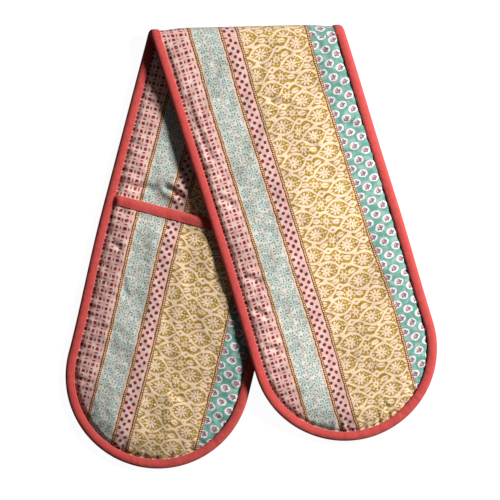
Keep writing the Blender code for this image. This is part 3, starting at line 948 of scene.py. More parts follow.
def stitch_tree(material):
    """Geometry Nodes that lay a small rounded stitch at every step along the object's edges."""
    tree = bpy.data.node_groups.new("Stitches along a path", "GeometryNodeTree")
    face = tree.interface
    face.new_socket("Path", in_out="INPUT", socket_type="NodeSocketGeometry")
    for name, default in (("Pitch", 3 * MM), ("Stitch Length", 2.3 * MM), ("Thread Radius", 0.2 * MM)):
        socket = face.new_socket(name, in_out="INPUT", socket_type="NodeSocketFloat")
        socket.default_value, socket.subtype = default, "DISTANCE"
    face.new_socket("Seed", in_out="INPUT", socket_type="NodeSocketInt")
    face.new_socket("Stitches", in_out="OUTPUT", socket_type="NodeSocketGeometry")
    new = tree.nodes.new
    given, result = new("NodeGroupInput"), new("NodeGroupOutput")
    curve, spaced = new("GeometryNodeMeshToCurve"), new("GeometryNodeResampleCurve")
    spaced.mode = "LENGTH"
    tangent, turned = new("GeometryNodeInputTangent"), new("FunctionNodeAlignRotationToVector")
    turned.axis = "X"
    draw, skewed = new("FunctionNodeRandomValue"), new("FunctionNodeRotateRotation")
    draw.data_type = "FLOAT_VECTOR"
    draw.inputs["Min"].default_value = [-turn for turn in STITCH_SKEW]
    draw.inputs["Max"].default_value = STITCH_SKEW
    skewed.rotation_space = "LOCAL"
    bead = new("GeometryNodeMeshUVSphere")
    for name, value in (("Segments", 8), ("Rings", 5), ("Radius", 1)):
        bead.inputs[name].default_value = value
    half, shape = new("ShaderNodeMath"), new("ShaderNodeCombineXYZ")
    half.operation = "MULTIPLY"
    half.inputs[1].default_value = 0.5
    placed, real = new("GeometryNodeInstanceOnPoints"), new("GeometryNodeRealizeInstances")
    finish = new("GeometryNodeSetMaterial")
    finish.inputs["Material"].default_value = material
    links = (
        (given, "Path", curve, "Mesh"), (curve, "Curve", spaced, "Curve"), (given, "Pitch", spaced, "Length"),
        (tangent, "Tangent", turned, "Vector"), (given, "Seed", draw, "Seed"),
        (turned, "Rotation", skewed, "Rotation"), (draw, "Value", skewed, "Rotate By"),
        (given, "Stitch Length", half, 0), (half, 0, shape, "X"),
        (given, "Thread Radius", shape, "Y"), (given, "Thread Radius", shape, "Z"),
        (spaced, "Curve", placed, "Points"), (bead, "Mesh", placed, "Instance"),
        (skewed, "Rotation", placed, "Rotation"), (shape, "Vector", placed, "Scale"),
        (placed, "Instances", real, "Geometry"), (real, "Geometry", finish, "Geometry"),
        (finish, "Geometry", result, "Stitches"),
    )
    for source, output, target, entry in links:
        tree.links.new(source.outputs[output], target.inputs[entry])
    return tree


def sewn(name, lines, tree):
    """Runs the stitch tree on lines of places and keeps the result as a plain mesh."""
    g = sizes()
    path = path_mesh(name + "_path", lines)
    maker = path.modifiers.new("Stitches", "NODES")
    maker.node_group = tree
    inputs = {item.name: item.identifier for item in tree.interface.items_tree if item.in_out == "INPUT"}
    maker[inputs["Pitch"]] = g.stitch_pitch
    maker[inputs["Stitch Length"]] = g.stitch_length
    maker[inputs["Thread Radius"]] = g.thread_radius
    maker[inputs["Seed"]] = g.seed
    evaluated = path.evaluated_get(bpy.context.evaluated_depsgraph_get())
    mesh = bpy.data.meshes.new_from_object(evaluated)
    mesh.name = name
    bpy.data.objects.remove(path)
    mesh.shade_smooth()
    piece = bpy.data.objects.new(name, mesh)
    bpy.context.scene.collection.objects.link(piece)
    return piece


def stitch_height(g, top):
    """Height of the thread's middle at the stitch line: it never dips under the tape's lowest face."""
    inset, height = binding_outline(g)
    if not top:
        inset, height = inset[::-1], height[::-1]
    half = len(inset) // 2
    return max(float(np.interp(STITCH_INSET, inset[:half][::-1], height[:half][::-1])), g.thread_radius)


def leg_stitch_lines(leg):
    place, run = edge_line(leg, STITCH_LINE_STEP)
    s, v = place(STITCH_INSET)
    x, y = leg.plan(s, v)
    calm = smooth(s / CALM_RUN)
    wave = binding_wave(leg, run, STITCH_INSET) + tape_wobble(run)
    lines = [
        in_frame(x, y, leg.base(s, v) + stitch_height(leg.g, True) + calm * wave),
        in_frame(x, y, leg.base(s, v) + stitch_height(leg.g, False)),
    ]
    reach = leg.half - leg.g.binding_width
    v = np.linspace(-reach, reach, MOUTH_LINE_POINTS)
    s = v * 0 + leg.mouth + leg.g.mouth_width - MOUTH_NOSE - MOUTH_STITCH
    found = leg.levels(s, v)
    x, y = leg.plan(s, v)
    skin = leg.g.layer_gap + EDGE_TAPE
    lines.append(in_frame(x, y, found[leg.pocket_over][1] + skin))
    lines.append(in_frame(x, y, found[leg.pocket_under][0] - skin))
    return lines


def fold_stitch_lines(lower, upper):
    share = np.linspace(0, 1, FOLD_LINE_POINTS)
    lines = []
    for sign in (-1, 1):
        v = sign * (lower.half - STITCH_INSET)
        for top in (True, False):
            level = stitch_height(lower.g, top) + fold_step(lower, upper, v) * smooth(share)
            lines.append(bent(lower, v + 0 * share, level, share))
    return lines


# Materials

class Term:
    """A number in a material. Sums and products of it add Math nodes to the material."""

    def __init__(self, tree, socket):
        self.tree, self.socket = tree, socket

    def math(self, operation, *values, clamp=False):
        node = self.tree.nodes.new("ShaderNodeMath")
        node.operation, node.use_clamp = operation, clamp
        for socket, value in zip(node.inputs, values):
            if isinstance(value, Term):
                self.tree.links.new(value.socket, socket)
            else:
                socket.default_value = value
        return Term(self.tree, node.outputs[0])

    def __add__(self, other):
        return self.math("ADD", self, other)

    def __sub__(self, other):
        return self.math("SUBTRACT", self, other)

    def __rsub__(self, other):
        return self.math("SUBTRACT", other, self)

    def __mul__(self, other):
        return self.math("MULTIPLY", self, other)

    def __truediv__(self, other):
        return self.math("DIVIDE", self, other)

    def __abs__(self):
        return self.math("ABSOLUTE", self)

    def __pow__(self, power):
        return self.math("POWER", self, power)

    __radd__, __rmul__ = __add__, __mul__

    def cos(self):
        return self.math("COSINE", self)

    def sin(self):
        return self.math("SINE", self)

    def angle_from(self, other):
        return self.math("ARCTAN2", self, other)

    def at_least(self, other):
        return self.math("MAXIMUM", self, other)

    def at_most(self, other):
        return self.math("MINIMUM", self, other)

    def repeat(self, period, start=0.0):
        """Distance to the nearest of the places start, start + period and so on."""
        return self.math("WRAP", self - start, period / 2, -period / 2)

    def below(self, edge, soft=0.3):
        """1 where this is under the edge, 0 over it, with a soft step between."""
        if isinstance(edge, Term):
            return (self - edge).below(0.0, soft)
        return self.math("MULTIPLY_ADD", self, -1 / soft, edge / soft + 0.5, clamp=True)

    def above(self, edge, soft=0.3):
        return self.math("MULTIPLY_ADD", self, 1 / soft, 0.5 - edge / soft, clamp=True)


def distance(across, along):
    return (across * across + along * along) ** 0.5


def oval(across, along, wide, high):
    """Less than 1 inside an oval of these half sizes."""
    return distance(across / wide, along / high)


def either(*masks):
    whole = masks[0]
    for mask in masks[1:]:
        whole = whole.at_least(mask)
    return whole


class Paint:
    """Layers of colour in a material's node tree."""

    def __init__(self, tree, base):
        self.tree = tree
        self.socket = self.flat(base)

    def flat(self, base):
        node = self.tree.nodes.new("ShaderNodeRGB")
        node.outputs[0].default_value = (*base, 1)
        return node.outputs[0]

    def over(self, mask, layer):
        """Lays a colour, or another Paint, over this one where the mask is 1."""
        node = self.tree.nodes.new("ShaderNodeMix")
        node.data_type = "RGBA"
        self.tree.links.new(mask.socket, node.inputs["Factor"])
        self.tree.links.new(self.socket, node.inputs["A"])
        if isinstance(layer, Paint):
            self.tree.links.new(layer.socket, node.inputs["B"])
        else:
            node.inputs["B"].default_value = (*layer, 1)
        self.socket = node.outputs["Result"]
        return self


def cloth_place(tree):
    """The piece's own cloth coordinates, in millimetres across and along."""
    uv = tree.nodes.new("ShaderNodeUVMap")
    uv.uv_map = "cloth"
    parts = tree.nodes.new("ShaderNodeSeparateXYZ")
    tree.links.new(uv.outputs["UV"], parts.inputs["Vector"])
    return Term(tree, parts.outputs["X"]) / MM, Term(tree, parts.outputs["Y"]) / MM


NOISE_STEP = 17.3


def texture(kind, across, along):
    """A texture node whose place is made of two numbers."""
    tree = across.tree
    place, node = tree.nodes.new("ShaderNodeCombineXYZ"), tree.nodes.new(kind)
    tree.links.new(across.socket, place.inputs["X"])
    tree.links.new(along.socket, place.inputs["Y"])
    tree.links.new(place.outputs["Vector"], node.inputs["Vector"])
    node.inputs["Scale"].default_value = 1
    return node


def noise(across, along, size, detail=2.0, which=0):
    """Noise of 0 to 1 over the cloth, with lumps of about this size."""
    node = texture("ShaderNodeTexNoise", across / size, along / size + NOISE_STEP * which)
    node.noise_dimensions = "2D"
    node.inputs["Detail"].default_value = detail
    return Term(across.tree, node.outputs["Fac"])


def specks(across, along, pitch):
    """Small round specks on a loose grid."""
    node = texture("ShaderNodeTexVoronoi", across / pitch, along / pitch)
    node.voronoi_dimensions = "2D"
    node.inputs["Randomness"].default_value = 0.85
    return Term(across.tree, node.outputs["Distance"]).below(0.27, 0.14)


def rosette(across, along, radius, petals, gap=-0.55, centre=0.15):
    """A flower with round petals, slits between them and an eye in its centre."""
    r = distance(across, along)
    turn = (along.angle_from(across) * petals).cos()
    petal = (r - turn * (0.17 * radius)).below(0.83 * radius)
    slit = turn.below(gap, 0.5) * r.above(0.42 * radius)
    eye = r.below(centre * radius) * 0.8
    return petal * (1 - slit) * (1 - eye)


# How far the print lies off the strip's middle on each cloth, in millimetres
OUTER_SHIFT, INNER_SHIFT, FACE_SHIFT = -1.0, -1.0, -0.5

# Edges of the stripes across the cloth, in millimetres from the strip's middle
BEAD_WIDTH = 3.2
ROSE_END = -57.6
MINT_END = -27.9
SPOT_END = -12.2
MUSTARD_END = 53.8

# Places of the motifs' first columns, and their steps across and along
ROSE_COLUMN, ROSE_PITCH = -64.6, 8.15
MINT_COLUMN, MINT_ACROSS, MINT_PITCH = -48.2, 12.4, 11.4
SPOT_COLUMN, SPOT_ACROSS, SPOT_PITCH = -19.4, 3.9, 8.5
TRELLIS_COLUMN, TRELLIS_ACROSS, TRELLIS_ALONG, TRELLIS_STEP = -5.1, 36.9, 37.3, 10.2
FLOWER_COLUMN = 19.1
OVAL_COLUMNS, OVAL_PITCH = (68.2, 58.8, 77.9), 14.15
BEAD_PITCH = 2.1
DIAGONAL = 0.7071

# The trellis' eyes: their crest, their reach to each side, their height and their roundness
EYE_CREST, EYE_LEFT, EYE_RIGHT, EYE_HEIGHT, EYE_POWER = 2.4, 14.4, 11.2, 8.5, 1.9
DIAMOND_PLACE, DIAMOND_HEIGHT, DIAMOND_SLOPE = 17.4, 2.5, 0.6


def rose_stripe(c, across, along):
    """Squares in a soft glow on a grid, with a short dash half way to each neighbour."""
    p, q = across.repeat(ROSE_PITCH, ROSE_COLUMN), along.repeat(ROSE_PITCH)
    half = ROSE_PITCH / 2
    p_half, q_half = across.repeat(ROSE_PITCH, ROSE_COLUMN + half), along.repeat(ROSE_PITCH, half)
    square = ((abs(p) ** 3 + abs(q) ** 3) ** (1 / 3)).below(1.65, 0.4)
    dashes = either(oval(p_half, q, 0.86, 1.6).below(1.0, 0.35), oval(p, q_half, 1.6, 0.82).below(1.0, 0.35))
    fine = either(abs(p_half).below(0.25, 0.3), abs(q_half).below(0.25, 0.3))
    fine = fine * distance(p_half, q_half).below(3.4)
    pale = []
    for step in (0, ROSE_PITCH):
        pale_p = across.repeat(2 * ROSE_PITCH, step + ROSE_COLUMN + half)
        pale_q = along.repeat(2 * ROSE_PITCH, step + half)
        pale.append(distance(pale_p, pale_q).below(2.2, 1.8))
    paint = Paint(across.tree, c.rose).over(distance(p, q).below(3.2, 1.6) * 0.8, c.rose_halo)
    paint.over(fine * 0.25, c.rose_mark).over(either(*pale) * 0.75, c.rose_pale)
    paint.over(noise(across, along, 14.0, 2.0, 11).above(0.52, 0.3) * 0.25, c.rose_pale)
    worn = noise(across, along, 2.6, 1.0, 10) * 0.7 + 0.62
    return paint.over(either(square, dashes * 0.9) * worn.at_most(1.0), c.rose_mark)


def mint_stripe(c, across, along):
    """Round florets of fine dashes in two staggered columns, with tendrils and specks between."""
    glow, dots, dashes, scrolls = [], [], [], []
    for column, phase in ((MINT_COLUMN, 0.0), (MINT_COLUMN + MINT_ACROSS, MINT_PITCH / 2)):
        p, q = across.repeat(2 * MINT_ACROSS, column), along.repeat(MINT_PITCH, phase)
        r, turn = distance(p, q), q.angle_from(p)
        glow.append(r.below(3.4, 3.0))
        dashes.append(abs(r - 3.6).below(0.95, 0.5) * (turn * 8).cos().above(0.35, 0.8))
        dots.append(abs(r - 1.8).below(0.5, 0.5) * (turn * 5 + 1).cos().above(0.1, 0.8))
        dots.append(r.below(0.6, 0.4))
        scrolls.append(abs(p - (q * (2 * math.pi / MINT_PITCH)).sin() * 1.6 - 6.0).below(0.4))
        scrolls.append(abs(distance(abs(p) - 6.0, abs(q) - 3.4) - 1.2).below(0.38))
    outside = 1 - either(*glow)
    patches = noise(across, along, 11.0, 2.0, 12).above(0.5, 0.25) * 0.3
    paint = Paint(across.tree, c.mint).over(patches, c.trellis)
    paint.over(either(*glow) * 0.4, c.mint_glow).over(either(*scrolls) * 0.45, c.mint_scroll)
    paint.over(specks(across, along, 3.1) * outside * 0.55, c.mint_dark)
    worn = noise(across, along, 2.0, 1.0, 15) * 0.9 + 0.4
    paint.over(either(*dots) * worn, c.mint_mark).over(either(*dashes) * worn.at_most(0.9), c.mint_dark)
    edges = either(abs(across - ROSE_END - 3.5).below(0.45), abs(across - MINT_END + 0.5).below(0.45))
    return paint.over(edges * 0.7, c.trellis)


def spot_stripe(c, across, along):
    """Three staggered columns of round spots."""
    spots = []
    for step, phase in ((-1, SPOT_PITCH / 2), (0, 0.0), (1, SPOT_PITCH / 2)):
        p, q = across - (SPOT_COLUMN + SPOT_ACROSS * step), along.repeat(SPOT_PITCH, phase)
        spots.append(distance(p, q).below(1.7, 0.5))
    paint = Paint(across.tree, c.spot_ground)
    paint.over(noise(across, along, 5.0, 2.0, 13).above(0.52, 0.2) * 0.45, c.mint)
    worn = noise(across, along, 5.5, 0.0, 14).above(0.5, 0.2)
    return paint.over(either(*spots), c.spot).over(either(*spots) * worn * 0.5, c.rose_mark)


def ogee(p):
    """Half height of the trellis along a row: an eye, pointed at both ends, then a small diamond."""
    left, right = (EYE_CREST - p).at_least(0.0) / EYE_LEFT, (p - EYE_CREST).at_least(0.0) / EYE_RIGHT
    eye = (1 - (left + right).at_most(1.0) ** EYE_POWER) * EYE_HEIGHT
    diamond = DIAMOND_HEIGHT - abs(p.repeat(TRELLIS_ACROSS, DIAMOND_PLACE)) * DIAMOND_SLOPE
    return eye.at_least(diamond).at_least(0.0)


def leaf(p, q, lean):
    """A split leaf."""
    whole = oval(p + q * lean, q - p * lean, 4.1, 2.4)
    return whole.below(1.0, 0.25) * (1 - abs(q - p * lean - 0.2).below(0.4, 0.4) * p.above(-1.2) * 0.9)


def bead_ring(p, q, radius, count):
    """A ring of small round beads."""
    on_ring = abs(distance(p, q) - radius).below(0.6, 0.5)
    return on_ring * (q.angle_from(p) * count).cos().above(0.15, 0.7)


def trellis_stripe(c, across, along):
    """An ogee trellis with a rosette in every eye, and small flowers between pairs of leaves."""
    pale, shade = [], noise(across, along, 3.4, 3.0, 1)
    for row in (0, 1):
        column = TRELLIS_COLUMN + TRELLIS_STEP * row
        p, q = across.repeat(TRELLIS_ACROSS, column), along.repeat(TRELLIS_ALONG, TRELLIS_ALONG / 2 * row)
        pale.append(abs(abs(q) - ogee(p)).below(1.3, 0.5))
        pale.append(rosette(p * 0.96, q * 1.02, 6.2, 9))
        pale.append(bead_ring(p, q, 7.5, 18) * (ogee(p) - abs(q)).above(0.9, 0.4))
        pale.append(oval(abs(p - 0.6) - 9.7, q, 1.3, 0.8).below(1.0, 0.4))
    p, side = across.repeat(TRELLIS_ACROSS, TRELLIS_COLUMN), abs(along.repeat(TRELLIS_ALONG))
    knot = distance(p - 5.1, side - 9.35)
    pale.append(knot.below(2.3, 0.5) * knot.above(0.5, 0.4))
    p, q = across.repeat(TRELLIS_ACROSS, FLOWER_COLUMN), side - 8.9
    pale.append(rosette(p, q, 4.1, 8, -0.75, 0.26))
    pale.append(bead_ring(p, q, 5.3, 8))
    pale.append(leaf(p - 9.2, q - 2.8, 0.2))
    pale.append(leaf(-9.4 - p, -2.7 - q, 0.2))
    paint = Paint(across.tree, c.mustard).over(shade.above(0.5, 0.3) * 0.8, c.mustard_shade)
    return paint.over(either(*pale), c.trellis)


def oval_stripe(c, across, along):
    """Pale ovals in staggered columns, each with a plump flower."""
    rims, ovals, posies, outlines = [], [], [], []
    for column, phase in zip(OVAL_COLUMNS, (0.0, OVAL_PITCH / 2, OVAL_PITCH / 2)):
        p, q = across - column, along.repeat(OVAL_PITCH, phase)
        rims.append(oval(p, q, 5.5, 4.5).below(1.0, 0.25))
        ovals.append(oval(p, q, 4.9, 3.9).below(1.0, 0.14))
        r, turn = distance(p, q * 1.15), q.angle_from(p)
        wave = r - (turn * 5 + 0.7).cos() * 0.45
        posies.append(wave.below(2.8, 0.4))
        ring = abs(wave - 2.2).below(0.62, 0.4) * (turn + 2.6).cos().below(0.75, 0.4)
        heart = distance(p - 0.7, q).below(0.95, 0.5)
        outlines.append(ring.at_least(heart).at_least(abs(distance(p + 0.9, q) - 0.9).below(0.3) * 0.8))
    tone = noise(across, along, 7.0, 3.0, 3)
    paint = Paint(across.tree, c.teal).over(tone.above(0.55, 0.3) * 0.35, c.teal_shade)
    paint.over(tone.below(0.44, 0.2) * 0.25, c.mint).over(either(*rims) * 0.5, c.teal_shade)
    paint.over(either(*ovals), c.oval).over(either(*posies) * 0.7, c.posy_pale)
    return paint.over(either(*outlines) * 0.9, c.posy)


def bead_line(c, paint, across, along, start):
    """A narrow dark line of pale beads."""
    middle = start + BEAD_WIDTH / 2
    on_line = abs(across - middle).below(BEAD_WIDTH / 2, 0.3)
    bead = distance(across - middle - 0.2, along.repeat(BEAD_PITCH)).below(0.68, 0.3)
    rim = abs(abs(across - middle) - BEAD_WIDTH / 2).below(0.2, 0.3) * 0.5
    return paint.over(on_line, c.bead_ground).over(either(on_line * bead, rim), c.bead)


def printed(tree, shift):
    """The striped print, moved across the strip by some millimetres, and the cloth's coordinates."""
    c = colours()
    across, along = cloth_place(tree)
    wobble = (noise(across, along, 6.0, 2.0, 4) - 0.5) * 1.8
    wander = (noise(across, along, 5.0, 2.0, 5) - 0.5) * 1.8
    v, a = across - shift + wobble, along + wander
    paint = rose_stripe(c, v, a)
    stripes = (
        (ROSE_END, mint_stripe), (MINT_END, spot_stripe),
        (SPOT_END, trellis_stripe), (MUSTARD_END, oval_stripe))
    for start, stripe in stripes:
        paint.over(v.above(start, 0.2), stripe(c, v, a))
        bead_line(c, paint, v, a, start)
    return paint, across, along


def weave_bump(tree, shader, across, along, pitch, depth, crinkle):
    """Bump of a plain weave with fine crinkles of the cloth over it."""
    threads = (across * (2 * math.pi / pitch)).sin() * (along * (2 * math.pi / pitch)).sin()
    folds = noise(across, along, 4.5, 3.0, 6) * 0.7 + noise(across, along, 10.0, 2.0, 7) * 1.6
    height = threads * depth + folds * crinkle
    node = tree.nodes.new("ShaderNodeBump")
    node.inputs["Strength"].default_value = 1
    node.inputs["Distance"].default_value = MM
    tree.links.new(height.socket, node.inputs["Height"])
    tree.links.new(node.outputs["Normal"], shader.inputs["Normal"])


def new_material(name, roughness, sheen):
    material = bpy.data.materials.new(name)
    material.use_nodes = True
    tree = material.node_tree
    shader = tree.nodes["Principled BSDF"]
    shader.inputs["Roughness"].default_value = roughness
    shader.inputs["Specular IOR Level"].default_value = 0.25
    shader.inputs["Sheen Weight"].default_value = sheen
    shader.inputs["Sheen Roughness"].default_value = 0.6
    return material, tree, shader


def made_once(make):
    """A maker of materials that gives the one of that name where it is there already."""
    def find(name, *rest):
        return bpy.data.materials.get(name) or make(name, *rest)
    return find


def based(tree, base, shade):
    """Paint of one colour, and the same colour darker."""
    return Paint(tree, base), [share * shade for share in base]


def toned(tree, paint, across, along, pitch):
    """Thread by thread tone, and a slow fade, over a painted cloth."""
    threads = (across * (math.pi / pitch)).sin() * (along * (math.pi / pitch)).sin()
    tone = threads * 0.05 + noise(across, along, 30.0, 2.0, 8) * 0.1
    tone = tone + noise(across, along, 0.8, 2.0, 9) * 0.12
    node = tree.nodes.new("ShaderNodeHueSaturation")
    tree.links.new(paint.socket, node.inputs["Color"])
    tree.links.new((tone + 0.89).socket, node.inputs["Value"])
    return node.outputs["Color"]


@made_once
def print_material(name, shift):
    """A cover's or a pocket's printed cloth."""
    material, tree, shader = new_material(name, roughness=0.82, sheen=0.08)
    paint, across, along = printed(tree, shift)
    tree.links.new(toned(tree, paint, across, along, pitch=0.45), shader.inputs["Base Color"])
    weave_bump(tree, shader, across, along, pitch=0.9, depth=0.05, crinkle=0.5)
    return material


@made_once
def lining_material(name):
    """The pockets' plain woven lining."""
    material, tree, shader = new_material(name, roughness=0.85, sheen=0.1)
    across, along = cloth_place(tree)
    paint, dark = based(tree, colours().lining, 0.72)
    paint.over(noise(across, along, 2.4, 3.0, 1).above(0.55, 0.3) * 0.35, dark)
    tree.links.new(toned(tree, paint, across, along, pitch=0.4), shader.inputs["Base Color"])
    weave_bump(tree, shader, across, along, pitch=0.8, depth=0.06, crinkle=0.4)
    return material


@made_once
def tape_material(name):
    """Bias tape: its threads run at 45 degrees to the edge."""
    material, tree, shader = new_material(name, roughness=0.78, sheen=0.12)
    across, along = cloth_place(tree)
    paint, dark = based(tree, colours().binding, 0.78)
    paint.over(noise(across, along, 4.0, 4.0, 1).above(0.5, 0.3) * 0.5, dark)
    slant, other = (across + along) * DIAGONAL, (across - along) * DIAGONAL
    tree.links.new(toned(tree, paint, slant, other, pitch=0.35), shader.inputs["Base Color"])
    weave_bump(tree, shader, slant, other, pitch=0.7, depth=0.06, crinkle=0.4)
    return material


@made_once
def fleece_material(name):
    """Loose fibre wadding."""
    material, tree, shader = new_material(name, roughness=0.95, sheen=0.3)
    across, along = cloth_place(tree)
    paint, dark = based(tree, colours().wadding, 0.7)
    paint.over(noise(across * 3, along, 1.6, 4.0, 1).above(0.55, 0.3) * 0.4, dark)
    tree.links.new(paint.socket, shader.inputs["Base Color"])
    weave_bump(tree, shader, across, along, pitch=1.7, depth=0.1, crinkle=1.5)
    return material


@made_once
def thread_material(name):
    """Sewing thread in the tape's colour, a little deeper."""
    material, tree, shader = new_material(name, roughness=0.6, sheen=0.1)
    place = tree.nodes.new("ShaderNodeTexCoord")
    twist = tree.nodes.new("ShaderNodeTexWave")
    twist.inputs["Scale"].default_value = 900
    twist.inputs["Distortion"].default_value = 1.5
    tree.links.new(place.outputs["Object"], twist.inputs["Vector"])
    base = [share * 0.8 for share in colours().binding]
    paint = Paint(tree, base).over(Term(tree, twist.outputs["Fac"]) * 0.5, colours().binding)
    tree.links.new(paint.socket, shader.inputs["Base Color"])
    return material


# Operators

SHEET_SHARE = 0.97
WADDING_SLIMMER = 0.15 * MM


def legs():
    return Leg(-1), Leg(1)


def stands_for(piece, node, slot):
    """Hides the CAD node that a piece stands for."""
    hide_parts(node)


def declare_sheet(piece, wide, long):
    """Works out a cloth's flat size, with the rounded ends taking a little off its area; the result is not
    kept.
    """
    wide * long * SHEET_SHARE


def cover_pieces(which, material):
    """A cover's stretch on each leg and round the fold."""
    title = f"{which}_cover"
    pair = legs()
    for leg in pair:
        spacing = FINE if leg.upper == (which == "outer") else MIDDLE
        piece = leg_sheet(leg, which, f"{title}_{leg.name}_cloth", material, spacing)
        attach(piece, leg.body)
        stands_for(piece, f"{title}_{leg.name}", "striped_print")
        declare_sheet(piece, leg.g.strip_width, leg.length)
    piece, highest = fold_sheet(*pair, which, f"{title}_fold_cloth", material, MIDDLE)
    ride_fold(piece, highest, pair[0])
    stands_for(piece, f"{title}_fold", "striped_print")
    declare_sheet(piece, pair[0].g.strip_width, fold_arc(pair[0], which))


class GLOVE_OT_wadding(bpy.types.Operator):
    """Fibre wadding of the strip and of both pockets"""

    bl_idname = "glove.wadding"
    bl_label = "Wadding"

    def execute(self, context):
        pair = legs()
        fleece = fleece_material("fibre_wadding")
        for leg in pair:
            for which, start in (("wadding", None), ("pocket_wadding", leg.mouth)):
                name = f"{which}_{leg.name}"
                spacing = MIDDLE if start and leg.upper else FINE
                piece = leg_sheet(leg, which, f"{name}_fleece", fleece, spacing, start, WADDING_SLIMMER)
                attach(piece, leg.body)
                stands_for(piece, name, "wadding")
        piece, highest = fold_sheet(*pair, "wadding", "wadding_fold_fleece", fleece, MIDDLE, WADDING_SLIMMER)
        ride_fold(piece, highest, pair[0])
        stands_for(piece, "wadding_fold", "wadding")
        return {"FINISHED"}


class GLOVE_OT_outer_cover(bpy.types.Operator):
    """Printed outer cover, from the lower leg round the fold to the upper leg"""

    bl_idname = "glove.outer_cover"
    bl_label = "Outer cover"

    def execute(self, context):
        cover_pieces("outer", print_material("outer_print", OUTER_SHIFT))
        return {"FINISHED"}


class GLOVE_OT_inner_cover(bpy.types.Operator):
    """Printed inner cover, which the pockets lie on"""

    bl_idname = "glove.inner_cover"
    bl_label = "Inner cover"

    def execute(self, context):
        cover_pieces("inner", print_material("inner_print", INNER_SHIFT))
        return {"FINISHED"}


class GLOVE_OT_pockets(bpy.types.Operator):
    """Printed face and plain lining of both hand pockets"""

    bl_idname = "glove.pockets"
    bl_label = "Pockets"

    def execute(self, context):
        lining = lining_material("plain_lining")
        face = print_material("pocket_print", FACE_SHIFT)
        for leg in legs():
            for which, material, slot in (("lining", lining, "lining"), ("face", face, "striped_print")):
                name = f"pocket_{which}_{leg.name}"
                spacing = FINE if which == "face" and not leg.upper else MIDDLE
                piece = leg_sheet(leg, which, f"{name}_cloth", material, spacing, leg.mouth)
                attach(piece, leg.body)
                stands_for(piece, name, slot)
                declare_sheet(piece, leg.g.strip_width, leg.g.pocket_depth)
        return {"FINISHED"}


class GLOVE_OT_bindings(bpy.types.Operator):
    """Bias tape round the strip's edge and over both pockets' mouths"""

    bl_idname = "glove.bindings"
    bl_label = "Bindings"

    def execute(self, context):
        pair = legs()
        tape = tape_material("coral_bias_tape")
        for leg in pair:
            for node, maker in (("edge_binding", leg_binding), ("mouth_binding", leg_mouth)):
                name = f"{node}_{leg.name}"
                piece = maker(leg, f"{name}_tape", tape)
                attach(piece, leg.body)
                stands_for(piece, name, "binding")
        for sign, side in ((-1, "left"), (1, "right")):
            name = f"edge_binding_fold_{side}"
            piece = fold_binding(*pair, sign, f"{name}_tape", tape)
            ride_fold(piece, pair[0].g.binding_height, pair[0])
            stands_for(piece, name, "binding")
        return {"FINISHED"}


class GLOVE_OT_stitching(bpy.types.Operator):
    """Stitches along the bindings"""

    bl_idname = "glove.stitching"
    bl_label = "Stitching"

    def execute(self, context):
        lower, upper = legs()
        tree = stitch_tree(thread_material("coral_thread"))
        for leg in (lower, upper):
            piece = sewn(f"stitching_{leg.name}", leg_stitch_lines(leg), tree)
            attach(piece, leg.body)
        piece = sewn("stitching_fold", fold_stitch_lines(lower, upper), tree)
        ride_fold(piece, lower.g.binding_height, lower)
        return {"FINISHED"}


FLOOR_HALF = 3.0
FLOOR_TONE = 0.15
FLOOR_LIFT = 0.96
LAMP_POWER = 40.4
LAMP_WIDTH = 0.34
LAMP_PLACE = Vector((1.14, 0.50, 0.94))
SKY_STRENGTH = 0.045
CAMERA_DISTANCE = 2.2
SENSOR_WIDTH = 36
FRAME_WIDTH = 0.495
FRAME_LEVEL = 15 * MM
FRAME_CENTRE = Vector((1.44 * MM, -3.29 * MM, 0))
FRAME_TURN = -math.atan(0.0244)


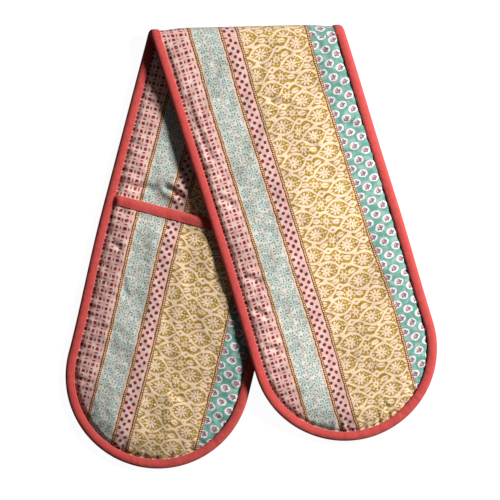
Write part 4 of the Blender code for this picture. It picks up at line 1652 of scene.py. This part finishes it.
class GLOVE_OT_stage(bpy.types.Operator):
    """Pale floor, soft light and a camera straight above"""

    bl_idname = "glove.stage"
    bl_label = "Stage"

    def execute(self, context):
        scene = context.scene
        mesh = bpy.data.meshes.new("floor")
        corners = [(x * FLOOR_HALF, y * FLOOR_HALF, 0) for x, y in ((-1, -1), (1, -1), (1, 1), (-1, 1))]
        mesh.from_pydata(corners, [], [(0, 1, 2, 3)])
        mesh.materials.append(self.floor_material())
        floor = bpy.data.objects.new("floor", mesh)
        scene.collection.objects.link(floor)
        floor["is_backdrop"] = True
        self.light(scene)
        data = bpy.data.cameras.new("camera")
        data.sensor_width = SENSOR_WIDTH
        data.lens = data.sensor_width * CAMERA_DISTANCE / FRAME_WIDTH
        camera = bpy.data.objects.new("camera", data)
        camera.location = FRAME_CENTRE + Vector((0, 0, FRAME_LEVEL + CAMERA_DISTANCE))
        camera.rotation_euler = (0, 0, FRAME_TURN)
        scene.collection.objects.link(camera)
        scene.camera = camera
        scene.view_settings.view_transform = "Standard"
        return {"FINISHED"}

    def floor_material(self):
        """A dim floor, so that it lights nothing, which glows white for the camera and keeps its shadows."""
        material = bpy.data.materials.new("floor")
        material.use_nodes = True
        tree = material.node_tree
        shader = tree.nodes["Principled BSDF"]
        shader.inputs["Base Color"].default_value = (FLOOR_TONE, FLOOR_TONE, FLOOR_TONE, 1)
        shader.inputs["Roughness"].default_value = 0.9
        shader.inputs["Specular IOR Level"].default_value = 0
        rays = tree.nodes.new("ShaderNodeLightPath")
        seen = Term(tree, rays.outputs["Is Camera Ray"]) * FLOOR_LIFT
        shader.inputs["Emission Color"].default_value = (1, 1, 1, 1)
        tree.links.new(seen.socket, shader.inputs["Emission Strength"])
        return material

    def light(self, scene):
        """One soft lamp, and a dim sky that the camera sees white."""
        world = bpy.data.worlds.new("studio")
        world.use_nodes = True
        sky = world.node_tree.nodes["Background"]
        sky.inputs["Color"].default_value = (1, 1, 1, 1)
        rays = world.node_tree.nodes.new("ShaderNodeLightPath")
        seen = Term(world.node_tree, rays.outputs["Is Camera Ray"])
        strength = seen * (1 - SKY_STRENGTH) + SKY_STRENGTH
        world.node_tree.links.new(strength.socket, sky.inputs["Strength"])
        scene.world = world
        light = bpy.data.lights.new("softbox", "AREA")
        light.shape = "DISK"
        light.energy, light.size = LAMP_POWER, LAMP_WIDTH
        lamp = bpy.data.objects.new("softbox", light)
        lamp.location = LAMP_PLACE
        lamp.rotation_mode = "QUATERNION"
        lamp.rotation_quaternion = LAMP_PLACE.to_track_quat("Z", "Y")
        scene.collection.objects.link(lamp)


class GLOVE_PT_panel(bpy.types.Panel):
    """Sizes, colours and pieces of the glove"""

    bl_idname = "GLOVE_PT_panel"
    bl_label = "Double oven glove"
    bl_space_type = "VIEW_3D"
    bl_region_type = "UI"
    bl_category = "Oven glove"

    def draw(self, context):
        for title, group in (("Sizes", sizes()), ("Colours", colours())):
            box = self.layout.box()
            box.label(text=title)
            for name in group.__annotations__:
                box.prop(group, name)
        for operator in OPERATORS:
            self.layout.operator(operator.bl_idname)


OPERATORS = (
    GLOVE_OT_wadding, GLOVE_OT_outer_cover, GLOVE_OT_inner_cover, GLOVE_OT_pockets, GLOVE_OT_bindings,
    GLOVE_OT_stitching, GLOVE_OT_stage)
CLASSES = (GloveSizes, GloveColours, *OPERATORS, GLOVE_PT_panel)


def register():
    for cls in CLASSES:
        bpy.utils.register_class(cls)
    bpy.types.Scene.glove_sizes = PointerProperty(type=GloveSizes)
    bpy.types.Scene.glove_colours = PointerProperty(type=GloveColours)


def unregister():
    del bpy.types.Scene.glove_colours
    del bpy.types.Scene.glove_sizes
    for cls in reversed(CLASSES):
        bpy.utils.unregister_class(cls)


def main():
    register()
    for operator in OPERATORS:
        group, name = operator.bl_idname.split(".")
        getattr(getattr(bpy.ops, group), name)()
    boxes = {"cad": cad_box, "visual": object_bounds()}
    {name: [list(corner) for corner in box] for name, box in boxes.items()}


if __name__ == "__main__":
    main()
